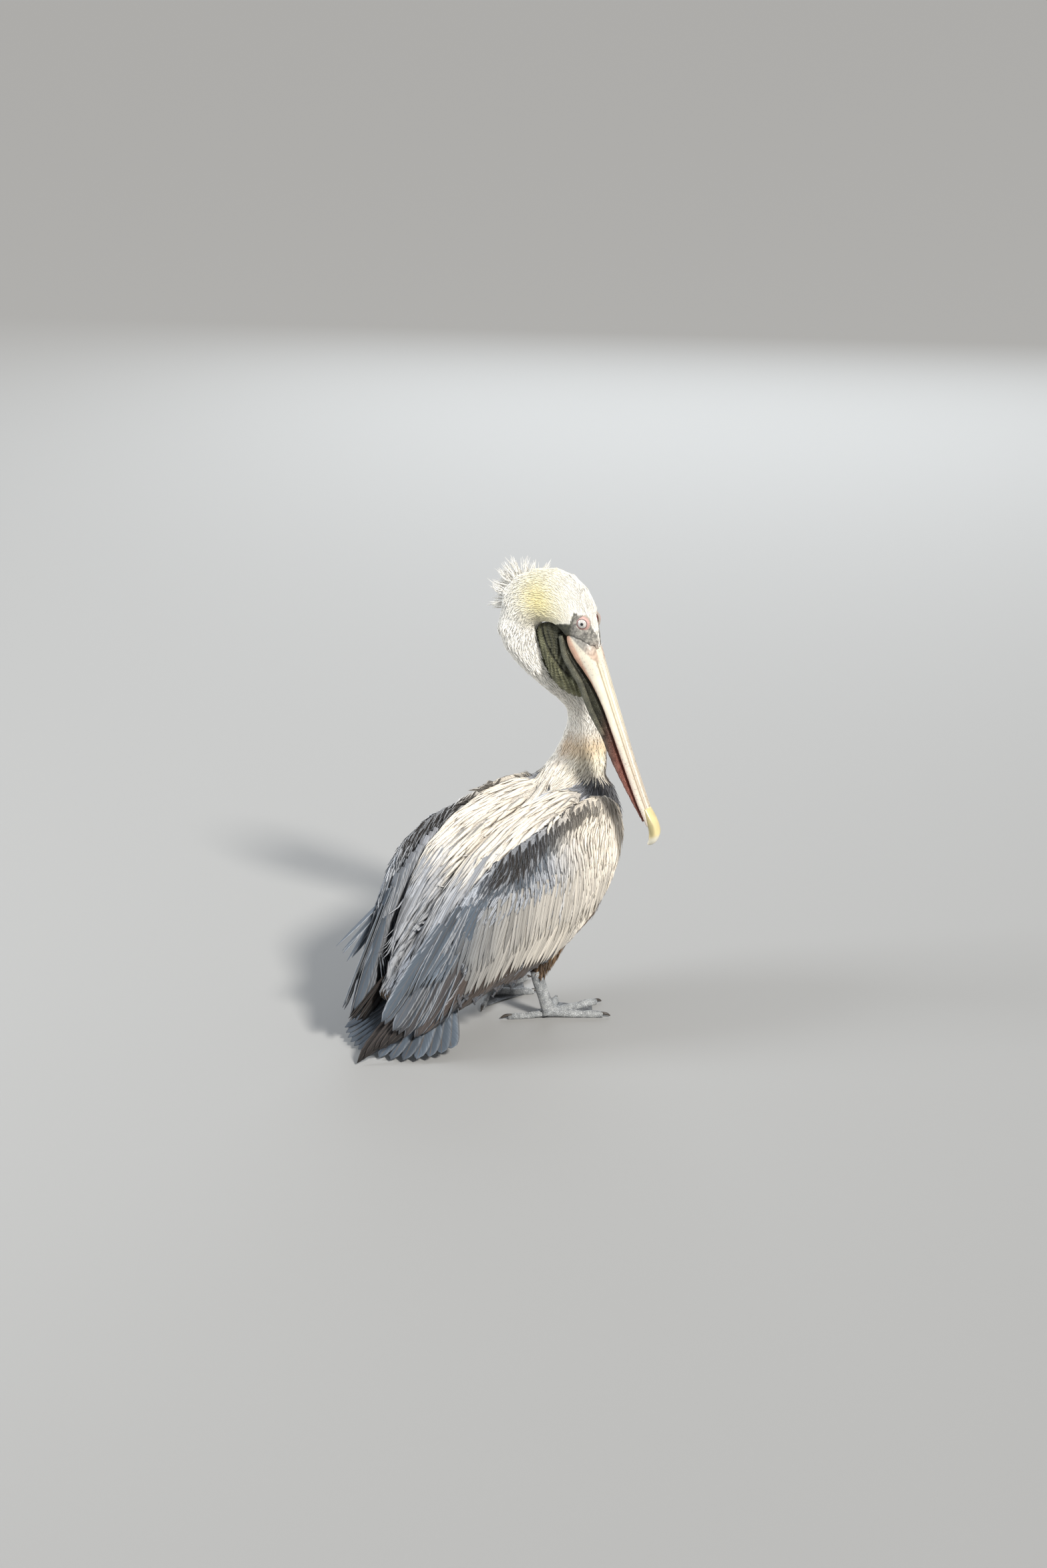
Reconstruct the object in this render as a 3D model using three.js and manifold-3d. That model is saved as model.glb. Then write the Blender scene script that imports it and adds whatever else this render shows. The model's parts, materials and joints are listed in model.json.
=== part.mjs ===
// A life-size standing brown pelican, head turned to its right and bill pointing down.
// Millimetres, +Z up. The bird faces -Y and its left is +X. The feet stand on Z = 0.
import * as THREE from 'three';
import { mergeVertices } from 'three/addons/utils/BufferGeometryUtils.js';
import Module from 'manifold-3d';

const wasm = await Module();
wasm.setup();

// ---------------------------------------------------------------- driving sizes

const GAP = 0.3; // clearance between neighbouring pieces
const SLIVER = 0.06; // facets thinner than this, left by a cut, are merged
const BROAD_SLIVER = 0.12; // the same for pieces with room around them
const MATT = 0.85; // roughness of plumage
const LEFT = 1;
const RIGHT = -1;

const HEAD_AT = bird(62.1, -76.2, 578.3); // point midway between the eyes
const BILL_DIRECTION = bird(0.088, -0.379, -0.921).normalize();
const HEAD_LEFT = bird(0.974, 0.225, 0).normalize();
const CROWN_DIRECTION = HEAD_LEFT.clone().cross(BILL_DIRECTION).negate().normalize();

const BILL_TIP = 326; // from the eyes to the tip of the nail
const NAIL_START = 287; // where the nail begins on the culmen
const EYE = { along: -2, out: 16.5, up: 3, radius: 9.2 };

const TAIL_BASE = bird(-168, 2, 100);
const TAIL_REACH = 127; // from the base to the tips, along the ground
const TAIL_FEATHERS = 10;
const TAIL_SPREAD_LEFT = THREE.MathUtils.degToRad(38);
const TAIL_SPREAD_RIGHT = THREE.MathUtils.degToRad(60);

const ANKLE = { forward: -1, out: 62, up: 11 };
const TOES = [
  { name: 'outer', length: 80, turn: 45, thick: 6 },
  { name: 'middle', length: 90, turn: 6, thick: 6.2 },
  { name: 'inner', length: 70, turn: -36, thick: 5.8 },
  { name: 'hind', length: 62, turn: -143, thick: 4.8 },
];
const SOLE_LEVEL = 0.78; // share of a toe's radius between its axis and the floor
const ARCH = 4; // lift of the toes where they meet the ankle
const WEB_THICKNESS = 2.2;
const WEB_LIFT = 0.6;
const CLAW_LENGTH = 11;
const CLAW_LIFT = 1.2;

const SKIN_TONES = {
  white: 0xf2eee2,
  cream: 0xe6ddc6,
  silver: 0xb9b4a8,
  brown: 0x4c4038,
  dark: 0x2f2a28,
  horn: 0xe8dcc4,
  nail: 0xd9c98a,
  olive: 0x585844,
  scale: 0xa9a9a2,
  iris: 0xd8d6cc,
};

// ---------------------------------------------------------------- frames

// A point given as forward, left and up.
function bird(forward, left, up) {
  return new THREE.Vector3(left, -forward, up);
}

// A point in the head's own frame: along the bill, to the head's left, towards the crown.
function headPoint(along, left, crown) {
  return HEAD_AT.clone()
    .addScaledVector(BILL_DIRECTION, along)
    .addScaledVector(HEAD_LEFT, left)
    .addScaledVector(CROWN_DIRECTION, crown);
}

// ---------------------------------------------------------------- shape helpers

// Smooth interpolation of plain numbers, t from 0 to 1 over the whole list.
function smooth(values, t) {
  const last = values.length - 1;
  const spot = Math.min(t * last, last - 1e-9);
  const i = Math.floor(spot);
  const u = spot - i;
  const at = (k) => values[Math.max(0, Math.min(last, k))];
  const [a, b, c, d] = [at(i - 1), at(i), at(i + 1), at(i + 2)];
  const cubic = 2 * b + (c - a) * u + (2 * a - 5 * b + 4 * c - d) * u * u;
  return (cubic + (3 * b - a - 3 * c + d) * u * u * u) / 2;
}

// The same for a list of vectors.
function smoothPoint(points, t) {
  return new THREE.Vector3(
    smooth(points.map((p) => p.x), t),
    smooth(points.map((p) => p.y), t),
    smooth(points.map((p) => p.z), t),
  );
}

// One closed section: half axes across and high, with an exponent for squareness and a bow
// that lifts the middle of the section.
function hoop(centre, across, high, { sides, square = 2, bow = null }) {
  const points = [];
  for (let k = 0; k < sides; k += 1) {
    const angle = (2 * Math.PI * k) / sides;
    const c = Math.cos(angle);
    const s = Math.sin(angle);
    const x = Math.sign(c) * Math.abs(c) ** (2 / square);
    const y = Math.sign(s) * Math.abs(s) ** (2 / square);
    const point = centre.clone().addScaledVector(across, x).addScaledVector(high, y);
    if (bow) point.addScaledVector(bow, 1 - x * x);
    points.push(point);
  }
  return points;
}

// A closed mesh through a list of hoops, its ends closed by fans.
function loft(hoops) {
  const sides = hoops[0].length;
  const positions = [];
  const indices = [];
  for (const points of hoops) for (const p of points) positions.push(p.x, p.y, p.z);
  const ends = [hoops[0], hoops[hoops.length - 1]].map((points) => {
    const middle = new THREE.Vector3();
    for (const p of points) middle.addScaledVector(p, 1 / sides);
    positions.push(middle.x, middle.y, middle.z);
    return positions.length / 3 - 1;
  });
  for (let r = 0; r + 1 < hoops.length; r += 1) {
    for (let k = 0; k < sides; k += 1) {
      const a = r * sides + k;
      const b = r * sides + ((k + 1) % sides);
      indices.push(a, b, a + sides, b, b + sides, a + sides);
    }
  }
  const top = (hoops.length - 1) * sides;
  for (let k = 0; k < sides; k += 1) {
    const next = (k + 1) % sides;
    indices.push(ends[0], next, k);
    indices.push(ends[1], top + k, top + next);
  }
  const geometry = new THREE.BufferGeometry();
  geometry.setAttribute('position', new THREE.Float32BufferAttribute(positions, 3));
  geometry.setIndex(indices);
  return volumeOf(geometry) < 0 ? flipped(geometry) : geometry;
}

function volumeOf(geometry) {
  const position = geometry.getAttribute('position');
  const corner = [0, 1, 2].map(() => new THREE.Vector3());
  let total = 0;
  for (let i = 0; i < geometry.index.count; i += 3) {
    corner.forEach((v, k) => v.fromBufferAttribute(position, geometry.index.getX(i + k)));
    total += corner[0].dot(corner[1].clone().cross(corner[2])) / 6;
  }
  return total;
}

function flipped(geometry) {
  const order = geometry.index.array;
  for (let i = 0; i < order.length; i += 3) {
    [order[i + 1], order[i + 2]] = [order[i + 2], order[i + 1]];
  }
  return geometry;
}

// A body along a path. Each station is [point, half width, half height]; the width lies
// along flank, as far as the path allows.
function limb(stations, flank, { sides = 14, rings = 12, square = 2 } = {}) {
  const points = stations.map((s) => s[0]);
  const hoops = [];
  for (let r = 0; r <= rings; r += 1) {
    const t = r / rings;
    const ahead = smoothPoint(points, Math.min(1, t + 0.01));
    const tangent = ahead.sub(smoothPoint(points, Math.max(0, t - 0.01))).normalize();
    const across = flank.clone().addScaledVector(tangent, -flank.dot(tangent)).normalize();
    const high = tangent.clone().cross(across);
    across.multiplyScalar(smooth(stations.map((s) => s[1]), t));
    high.multiplyScalar(smooth(stations.map((s) => s[2]), t));
    hoops.push(hoop(smoothPoint(points, t), across, high, { sides, square }));
  }
  return loft(hoops);
}

// A body through upright sections, each given by its top and bottom point, half thickness,
// and how far its middle bows out along the side.
function panel(stations, side, { sides = 16, rings = 16, square = 2 } = {}) {
  const tops = stations.map((s) => s.top);
  const bottoms = stations.map((s) => s.bottom);
  const hoops = [];
  for (let r = 0; r <= rings; r += 1) {
    const t = r / rings;
    const top = smoothPoint(tops, t);
    const bottom = smoothPoint(bottoms, t);
    const across = top.clone().sub(bottom).multiplyScalar(0.5);
    const axis = across.clone().normalize();
    const out = side.clone().addScaledVector(axis, -side.dot(axis)).normalize();
    const half = smooth(stations.map((s) => s.half), t);
    const bow = smooth(stations.map((s) => s.bow), t);
    const middle = top.add(bottom).multiplyScalar(0.5);
    hoops.push(
      hoop(middle, across, out.clone().multiplyScalar(half), {
        sides,
        square,
        bow: out.clone().multiplyScalar(bow),
      }),
    );
  }
  return loft(hoops);
}

// One flat feather: broad for most of its length, with a rounded tip.
const VANE_WIDTHS = [0.55, 0.9, 1, 1, 0.86, 0.42];
const VANE_THICKNESS = [1, 1, 0.9, 0.8, 0.65, 0.45];
function vane(root, tip, width, thick, flank, { sag = 0, sides = 6, rings = 4 } = {}) {
  const stations = VANE_WIDTHS.map((w, i) => {
    const t = i / (VANE_WIDTHS.length - 1);
    const point = root.clone().lerp(tip, t);
    point.z -= sag * 4 * t * (1 - t);
    return [point, (w * width) / 2, (VANE_THICKNESS[i] * thick) / 2];
  });
  return limb(stations, flank, { sides, rings });
}

// ---------------------------------------------------------------- solids

function solid(geometry) {
  const bare = new THREE.BufferGeometry();
  bare.setAttribute('position', geometry.getAttribute('position').clone());
  if (geometry.index) bare.setIndex(geometry.index);
  const merged = mergeVertices(bare, 1e-4);
  return new wasm.Manifold(
    new wasm.Mesh({
      numProp: 3,
      vertProperties: merged.getAttribute('position').array,
      triVerts: new Uint32Array(merged.index.array),
    }),
  );
}

// The same solid with its surface moved out, used to cut room for a neighbour.
function room(geometry, margin = GAP) {
  const wider = geometry.clone();
  wider.computeVertexNormals();
  const position = wider.getAttribute('position');
  const normal = wider.getAttribute('normal');
  for (let i = 0; i < position.count; i += 1) {
    position.setXYZ(
      i,
      position.getX(i) + normal.getX(i) * margin,
      position.getY(i) + normal.getY(i) * margin,
      position.getZ(i) + normal.getZ(i) * margin,
    );
  }
  return solid(wider);
}

function join(...solids) {
  return solids.reduce((whole, piece) => whole.add(piece));
}

function cut(whole, ...tools) {
  return tools.reduce((rest, tool) => rest.subtract(tool), whole);
}

// What lies on the side of a plane that its normal points to.
function keep(whole, point, normal) {
  const n = normal.clone().normalize();
  return whole.trimByPlane([n.x, n.y, n.z], n.dot(point));
}

// Two pieces parted by a thin cut; the first lies on the normal's side.
function part(whole, point, normal) {
  const n = normal.clone().normalize();
  const upper = point.clone().addScaledVector(n, GAP / 2);
  const lower = point.clone().addScaledVector(n, -GAP / 2);
  return [keep(whole, upper, n), keep(whole, lower, n.clone().negate())];
}

// Keeps the largest body, so that slivers left by a cut go.
function largest(whole) {
  const bodies = whole.decompose();
  return bodies.reduce((best, body) => (body.volume() > best.volume() ? body : best));
}

const model = new THREE.Group();

function add(name, shape, colour, roughness = MATT, sliver = SLIVER) {
  const { vertProperties, triVerts, numProp } = largest(shape.asOriginal().simplify(sliver)).getMesh();
  const positions = [];
  for (let i = 0; i < vertProperties.length; i += numProp) {
    positions.push(vertProperties[i], vertProperties[i + 1], vertProperties[i + 2]);
  }
  const geometry = new THREE.BufferGeometry();
  geometry.setAttribute('position', new THREE.Float32BufferAttribute(positions, 3));
  geometry.setIndex(Array.from(triVerts));
  geometry.computeVertexNormals();
  const material = new THREE.MeshStandardMaterial({ color: colour, roughness, metalness: 0 });
  const mesh = new THREE.Mesh(geometry, material);
  mesh.name = name;
  model.add(mesh);
}

// ---------------------------------------------------------------- head

const SIDE = HEAD_LEFT;

// Along, crown, half width, half height of each section from the forehead to the nape.
function alongHead(rows, options) {
  const stations = rows.map(([x, z, wide, high]) => [headPoint(x, 0, z), wide, high]);
  return limb(stations, SIDE, options);
}

// The head as one mass: each section runs from the crown or nape to the chin or throat.
const HEAD_ROWS = [
  { outer: [49, -3], inner: [47, -15], half: 7 },
  { outer: [38, 5], inner: [30, -27], half: 16 },
  { outer: [18, 9.5], inner: [10, -40], half: 21.5 },
  { outer: [-4, 13], inner: [-8, -46], half: 24.5 },
  { outer: [-28, 17], inner: [-14, -54], half: 26.5 },
  { outer: [-55, 8], inner: [-17, -60], half: 28 },
  { outer: [-79, -11], inner: [-19, -68], half: 28.5 },
  { outer: [-92, -42], inner: [-20, -74], half: 29 },
  { outer: [-95, -76], inner: [-18, -80], half: 30 },
  { outer: [-86, -106], inner: [-13, -85], half: 30 },
  { outer: [-66, -122], inner: [-14, -92], half: 26 },
];

const skull = panel(
  HEAD_ROWS.map(({ outer, inner, half }) => ({
    top: headPoint(outer[0], 0, outer[1]),
    bottom: headPoint(inner[0], 0, inner[1]),
    half,
    bow: 0,
  })),
  SIDE,
  { sides: 14, rings: 11, square: 2.2 },
);

const billUpper = alongHead(
  [
    [2, -24, 12, 9],
    [14, -22, 19.5, 17.5],
    [38, -17.5, 21, 19.5],
    [60, -14.5, 19.5, 15],
    [84, -12, 18, 10.5],
    [120, -11, 16, 7.2],
    [165, -12, 14.3, 6.6],
    [215, -13.2, 13.2, 6],
    [262, -13.4, 12.6, 5.2],
    [300, -12.5, 9.5, 5],
  ],
  { sides: 12, rings: 13, square: 2.5 },
);

const nail = limb(
  [
    [headPoint(276, 0, -10), 9, 4],
    [headPoint(294, 0, -9), 10.6, 6.6],
    [headPoint(309, 0, -10.5), 9.5, 8],
    [headPoint(319, 0, -17), 6.6, 6.5],
    [headPoint(BILL_TIP - 2, 0, -24), 3.6, 3.8],
    [headPoint(BILL_TIP - 1, 0, -29), 1.3, 1.5],
  ],
  SIDE,
  { sides: 10, rings: 7 },
);

const mandible = alongHead(
  [
    [4, -43, 15, 5],
    [30, -43, 19, 8.5],
    [68, -36, 18.5, 10.5],
    [108, -30, 17, 11.5],
    [150, -28.5, 15, 10.5],
    [190, -28.5, 13.5, 8.6],
    [228, -26, 12.2, 6],
    [262, -22.5, 10.6, 4],
    [292, -19.5, 7, 2.4],
  ],
  { sides: 10, rings: 9, square: 2.3 },
);

function ramus(hand) {
  const stations = [
    [headPoint(6, hand * 17, -41), 2.2, 3.5],
    [headPoint(38, hand * 21, -42), 3.4, 4.6],
    [headPoint(76, hand * 23, -32), 3.6, 4.6],
    [headPoint(118, hand * 22, -31), 3.2, 4.4],
    [headPoint(158, hand * 16, -29), 2.2, 3.4],
  ];
  return limb(stations, SIDE, { sides: 6, rings: 5 });
}

const pouch = alongHead(
  [
    [-17, -62, 9, 13],
    [-8, -63, 17, 21],
    [16, -65, 19.5, 23.5],
    [42, -65, 19.5, 23.5],
    [62, -62, 17.5, 23],
    [79, -52, 14, 19],
    [95, -40, 9, 9],
  ],
  { sides: 12, rings: 7 },
);

const eyes = [LEFT, RIGHT].map((hand) => {
  const ball = new THREE.SphereGeometry(EYE.radius, 10, 7);
  const at = headPoint(EYE.along, hand * EYE.out, EYE.up);
  return mergeVertices(stripped(ball.translate(at.x, at.y, at.z)), 1e-3);
});

function stripped(geometry) {
  geometry.deleteAttribute('normal');
  geometry.deleteAttribute('uv');
  return geometry;
}

// Spikes of the nape crest, each given by its tip along the bill line, sideways and crownwards.
const CREST_ROOT = headPoint(-54, 0, -78);
const CREST_TIPS = [
  [-104, -3, -52],
  [-119, 2, -88],
  [-112, -5, -108],
  [-103, 5, -121],
  [-90, -4, -131],
  [-76, 4, -139],
  [-62, -2, -144],
];

const crestSpikes = CREST_TIPS.map(([along, left, crown]) => {
  const tip = headPoint(along, left, crown);
  const stations = [
    [CREST_ROOT, 15, 10],
    [CREST_ROOT.clone().lerp(tip, 0.5), 15, 10.5],
    [CREST_ROOT.clone().lerp(tip, 0.78), 9, 7],
    [tip, 1.4, 1.4],
  ];
  return limb(stations, SIDE, { sides: 5, rings: 3 });
});

// ---------------------------------------------------------------- neck

const neck = limb(
  [
    [headPoint(-54, 0, -84), 22, 24],
    [headPoint(-46, 0, -98), 29, 29],
    [headPoint(-33, 1, -108), 30, 30],
    [bird(34, 33, 552), 30, 30],
    [bird(46, 19, 522), 28, 28.5],
    [bird(70, 0, 488), 26, 26.5],
    [bird(106, -9, 454), 25, 25.5],
    [bird(126, -8, 424), 26, 26.5],
    [bird(133, -3, 388), 30, 30],
    [bird(124, 0, 344), 42, 40],
    [bird(100, 0, 298), 58, 55],
  ],
  SIDE,
  { sides: 14, rings: 18 },
);

// ---------------------------------------------------------------- trunk

// Back point, belly point and half width, from the rump to the base of the neck.
const TRUNK_ROWS = [
  { back: [-258, 86], belly: [-252, 70], wide: 22 },
  { back: [-196, 152], belly: [-170, 70], wide: 58 },
  { back: [-140, 212], belly: [-92, 72], wide: 82 },
  { back: [-75, 256], belly: [-8, 78], wide: 94 },
  { back: [-15, 284], belly: [70, 94], wide: 98 },
  { back: [25, 302], belly: [124, 134], wide: 90 },
  { back: [48, 316], belly: [160, 196], wide: 84 },
  { back: [60, 328], belly: [174, 250], wide: 76 },
  { back: [76, 338], belly: [168, 298], wide: 60 },
  { back: [92, 344], belly: [158, 326], wide: 34 },
];

const trunk = panelTrunk(TRUNK_ROWS);

function panelTrunk(rows) {
  const tops = rows.map((row) => bird(row.back[0], 0, row.back[1]));
  const bottoms = rows.map((row) => bird(row.belly[0], 0, row.belly[1]));
  const rings = 10;
  const hoops = [];
  for (let r = 0; r <= rings; r += 1) {
    const t = r / rings;
    const top = smoothPoint(tops, t);
    const bottom = smoothPoint(bottoms, t);
    const high = top.clone().sub(bottom).multiplyScalar(0.5);
    const across = bird(0, 1, 0).multiplyScalar(smooth(rows.map((row) => row.wide), t));
    hoops.push(hoop(top.add(bottom).multiplyScalar(0.5), across, high, { sides: 14, square: 2.15 }));
  }
  return loft(hoops);
}

function scapular(hand) {
  const stations = [
    [bird(70, hand * 34, 316), 20, 8],
    [bird(42, hand * 40, 310), 34, 15],
    [bird(0, hand * 43, 295), 39, 19],
    [bird(-50, hand * 43, 277), 40, 19],
    [bird(-105, hand * 40, 249), 37, 17],
    [bird(-152, hand * 33, 210), 30, 14],
    [bird(-196, hand * 25, 163), 20, 9],
    [bird(-226, hand * 18, 128), 9, 5],
  ];
  return limb(stations, bird(0, 1, 0), { sides: 10, rings: 7, square: 2.3 });
}

// ---------------------------------------------------------------- wings

// Folded wing: sections from the wrist back to the tip of the longest feathers, each with its
// top and bottom edge, half thickness, outward bow and how far the looser left wing droops out.
const WING_ROWS = [
  { top: [117, 76, 292], bottom: [120, 77, 268], half: 10, bow: 1, slack: 4 },
  { top: [112, 75, 311], bottom: [118, 79, 232], half: 19, bow: 4, slack: 4 },
  { top: [88, 75, 320], bottom: [103, 82, 190], half: 20, bow: 9, slack: 5 },
  { top: [44, 77, 321], bottom: [71, 82, 150], half: 19, bow: 17, slack: 5 },
  { top: [-6, 81, 311], bottom: [28, 83, 118], half: 16, bow: 23, slack: 5 },
  { top: [-56, 84, 298], bottom: [-22, 86, 98], half: 13, bow: 26, slack: 6 },
  { top: [-104, 84, 285], bottom: [-78, 84, 86], half: 12, bow: 24, slack: 8 },
  { top: [-142, 80, 264], bottom: [-124, 82, 80], half: 11, bow: 20, slack: 11 },
  { top: [-176, 68, 231], bottom: [-168, 78, 77], half: 9, bow: 15, slack: 15 },
  { top: [-203, 56, 191], bottom: [-203, 70, 66], half: 7, bow: 11, slack: 18 },
  { top: [-230, 44, 138], bottom: [-234, 56, 45], half: 5, bow: 6, slack: 18 },
  { top: [-258, 35, 94], bottom: [-258, 44, 38], half: 3.4, bow: 2, slack: 13 },
  { top: [-284, 28, 60], bottom: [-281, 32, 46], half: 2, bow: 0, slack: 6 },
];

function wingRows(hand) {
  return WING_ROWS.map(({ top, bottom, half, bow, slack }) => {
    const loose = hand === LEFT ? slack : 0;
    return {
      top: bird(top[0], hand * (top[1] + loose), top[2]),
      bottom: bird(bottom[0], hand * (bottom[1] + loose), bottom[2]),
      half,
      bow,
    };
  });
}

function wingPanel(hand) {
  return panel(wingRows(hand), bird(0, hand, 0), { sides: 10, rings: 14 });
}

// Feather tips along the lower rear edge of the wing, one after another.
const QUILLS = 6;
function quillTips(hand, from, to, length, width) {
  const rows = wingRows(hand);
  const tips = [];
  for (let k = 0; k < QUILLS; k += 1) {
    const t = from + ((to - from) * k) / (QUILLS - 1);
    const edge = smoothPoint(rows.map((row) => row.bottom), t);
    const top = smoothPoint(rows.map((row) => row.top), t);
    const bow = smooth(rows.map((row) => row.bow), t);
    const root = edge.clone().lerp(top, 0.28).add(bird(0, hand * bow * 0.75, 0));
    const lean = bird(-0.8, hand * -0.08, -0.46).normalize();
    const reach = length * (0.86 + 0.14 * Math.cos(3 * k));
    const tip = edge.clone().addScaledVector(lean, reach);
    tip.z = Math.max(tip.z, 26);
    tips.push(vane(root, tip, width, 4.2, bird(0.5, 0, -0.8)));
  }
  return tips;
}

// The dark flight-feather tips that lie between the wings and over the tail.
const PRIMARIES = 3;
function primaryTips(hand) {
  const tips = [];
  for (let k = 0; k < PRIMARIES; k += 1) {
    const root = bird(-206 - 4 * k, hand * (52 - 2 * k), 120 - 8 * k);
    const tip = bird(-294 - 15 * k, hand * (26 - 8 * k), 50 - 21 * k);
    tips.push(vane(root, tip, 25, 4, bird(0.3, hand * 0.75, -0.6), { sag: -7 }));
  }
  return tips;
}

// ---------------------------------------------------------------- tail

function tailFeather(k) {
  const share = (2 * k) / (TAIL_FEATHERS - 1) - 1; // -1 right edge, +1 left edge
  const turn = share * (share < 0 ? TAIL_SPREAD_RIGHT : TAIL_SPREAD_LEFT);
  const reach = TAIL_REACH * (share < 0 ? 1 - 0.2 * share * share : 1);
  const root = TAIL_BASE.clone().add(bird(0, 20 * share, -3 * share * share));
  const tip = bird(-reach * Math.cos(turn), reach * Math.sin(turn), 0);
  tip.add(TAIL_BASE).setZ(1.3 + 14 * share * share + 0.5 * (k % 2));
  const sag = share < 0 ? 4 - 9 * share : 4;
  return vane(root, tip, 33, 3.2, bird(0, 1, 0.12 * share), { sag });
}

// ---------------------------------------------------------------- legs and feet

function thigh(hand) {
  const stations = [
    [bird(8, hand * 54, 140), 30, 40],
    [bird(-2, hand * 56, 108), 24, 31],
    [bird(-11, hand * 57, 86), 16, 19],
    [bird(-17, hand * 57.5, 70), 11.5, 13.5],
    [bird(-20, hand * 57.5, 61), 9.6, 11.6],
  ];
  return limb(stations, bird(0, 1, 0), { sides: 10, rings: 5 });
}

function tarsus(hand) {
  const stations = [
    [bird(-22, hand * 57.5, 76), 7.6, 10],
    [bird(-18, hand * 58, 60), 7.4, 10],
    [bird(-11, hand * 60, 38), 7, 9.4],
    [bird(-4, hand * 61.5, 18), 7.8, 10.6],
    [bird(-1, hand * 62, 8), 8.4, 11.4],
  ];
  return limb(stations, bird(0, 1, 0), { sides: 10, rings: 5 });
}

function toeDirection(toe, hand) {
  const turn = THREE.MathUtils.degToRad(toe.turn);
  return bird(Math.cos(turn), hand * Math.sin(turn), 0);
}

function toeTip(toe, hand, reach = toe.length) {
  return bird(ANKLE.forward, hand * ANKLE.out, 0).addScaledVector(toeDirection(toe, hand), reach);
}

function toeBody(toe, hand) {
  const knuckles = [1.25, 1, 1.02, 0.86, 0.96, 0.72];
  const stations = knuckles.map((k, i) => {
    const t = i / (knuckles.length - 1);
    const point = toeTip(toe, hand, t * (toe.length - 3));
    const radius = toe.thick * k;
    point.z = radius * SOLE_LEVEL + (1 - t) ** 3 * ARCH;
    return [point, radius, radius * (i === 0 ? 1.3 : 1)];
  });
  const flank = toeDirection(toe, hand).applyAxisAngle(new THREE.Vector3(0, 0, 1), Math.PI / 2);
  return limb(stations, flank, { sides: 6, rings: 3 });
}

// Skin between the toes, drawn in at each free edge.
function web(hand) {
  const outline = new THREE.Shape();
  const tips = [...TOES].reverse().map((toe) => toeTip(toe, hand, toe.length - 10));
  const heel = bird(ANKLE.forward - 4, hand * ANKLE.out, 0);
  outline.moveTo(heel.x, heel.y);
  outline.lineTo(tips[0].x, tips[0].y);
  for (let k = 1; k < tips.length; k += 1) {
    const middle = tips[k - 1].clone().add(tips[k]).multiplyScalar(0.5);
    const drawn = middle.lerp(heel, k === 1 ? 0.34 : 0.16);
    outline.quadraticCurveTo(drawn.x, drawn.y, tips[k].x, tips[k].y);
  }
  outline.lineTo(heel.x, heel.y);
  const sheet = new THREE.ExtrudeGeometry(outline, {
    depth: WEB_THICKNESS,
    bevelEnabled: false,
    curveSegments: 2,
  });
  return mergeVertices(stripped(sheet.translate(0, 0, WEB_LIFT)), 1e-3);
}

function claw(toe, hand) {
  const sink = 5;
  const rows = [
    [-sink, 2.6, 2.4],
    [2, 2.3, 2.3],
    [CLAW_LENGTH * 0.62, 1.7, 1.9],
    [CLAW_LENGTH, 0.7, 0.8],
  ];
  const stations = rows.map(([reach, wide, high], i) => {
    const point = toeTip(toe, hand, toe.length + reach - 3);
    point.z = CLAW_LIFT + high + [2.2, 2.4, 1.4, 0.1][i];
    return [point, wide, high];
  });
  const flank = toeDirection(toe, hand).applyAxisAngle(new THREE.Vector3(0, 0, 1), Math.PI / 2);
  return limb(stations, flank, { sides: 5, rings: 2 });
}

// ---------------------------------------------------------------- assembly

const floorPoint = new THREE.Vector3(0, 0, 0);
const UP = new THREE.Vector3(0, 0, 1);
const onFloor = (whole) => keep(whole, floorPoint, UP);

// Head, with the neck's top growing out of it.
const NAPE_CUT = BILL_DIRECTION.clone().multiplyScalar(-0.6).addScaledVector(CROWN_DIRECTION, 0.8);
const eyeRooms = eyes.map((eye) => room(eye));
const billRoom = room(billUpper);
const headAndNeck = join(solid(skull), solid(neck));
const [headWhole, neckWhole] = part(headAndNeck, headPoint(-34, 0, -98), NAPE_CUT);
const pouchRoom = room(pouch);
const mandibleRooms = [room(mandible), room(ramus(LEFT)), room(ramus(RIGHT))];

const face = cut(headWhole, billRoom, pouchRoom, ...mandibleRooms, ...eyeRooms);
add('head', face, SKIN_TONES.white, MATT, BROAD_SLIVER);
const crest = cut(join(...crestSpikes.map(solid)), room(skull), room(neck));
add('crest', crest, SKIN_TONES.white);
add('eye_left', solid(eyes[0]), SKIN_TONES.iris, 0.15);
add('eye_right', solid(eyes[1]), SKIN_TONES.iris, 0.15);

const billWhole = join(solid(billUpper), solid(nail));
const nailSlant = BILL_DIRECTION.clone().addScaledVector(CROWN_DIRECTION, 0.85);
const [nailPiece, upperPiece] = part(billWhole, headPoint(NAIL_START, 0, -2), nailSlant);
add('bill_nail', cut(nailPiece, ...mandibleRooms), SKIN_TONES.nail, 0.4);
add('bill_upper', upperPiece, SKIN_TONES.horn, 0.45);

const lowerJaw = join(solid(mandible), solid(ramus(LEFT)), solid(ramus(RIGHT)));
add('bill_lower', cut(lowerJaw, billRoom, room(nail)), SKIN_TONES.olive, 0.55);
add('pouch', cut(solid(pouch), billRoom, ...mandibleRooms), SKIN_TONES.olive, 0.7);

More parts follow.
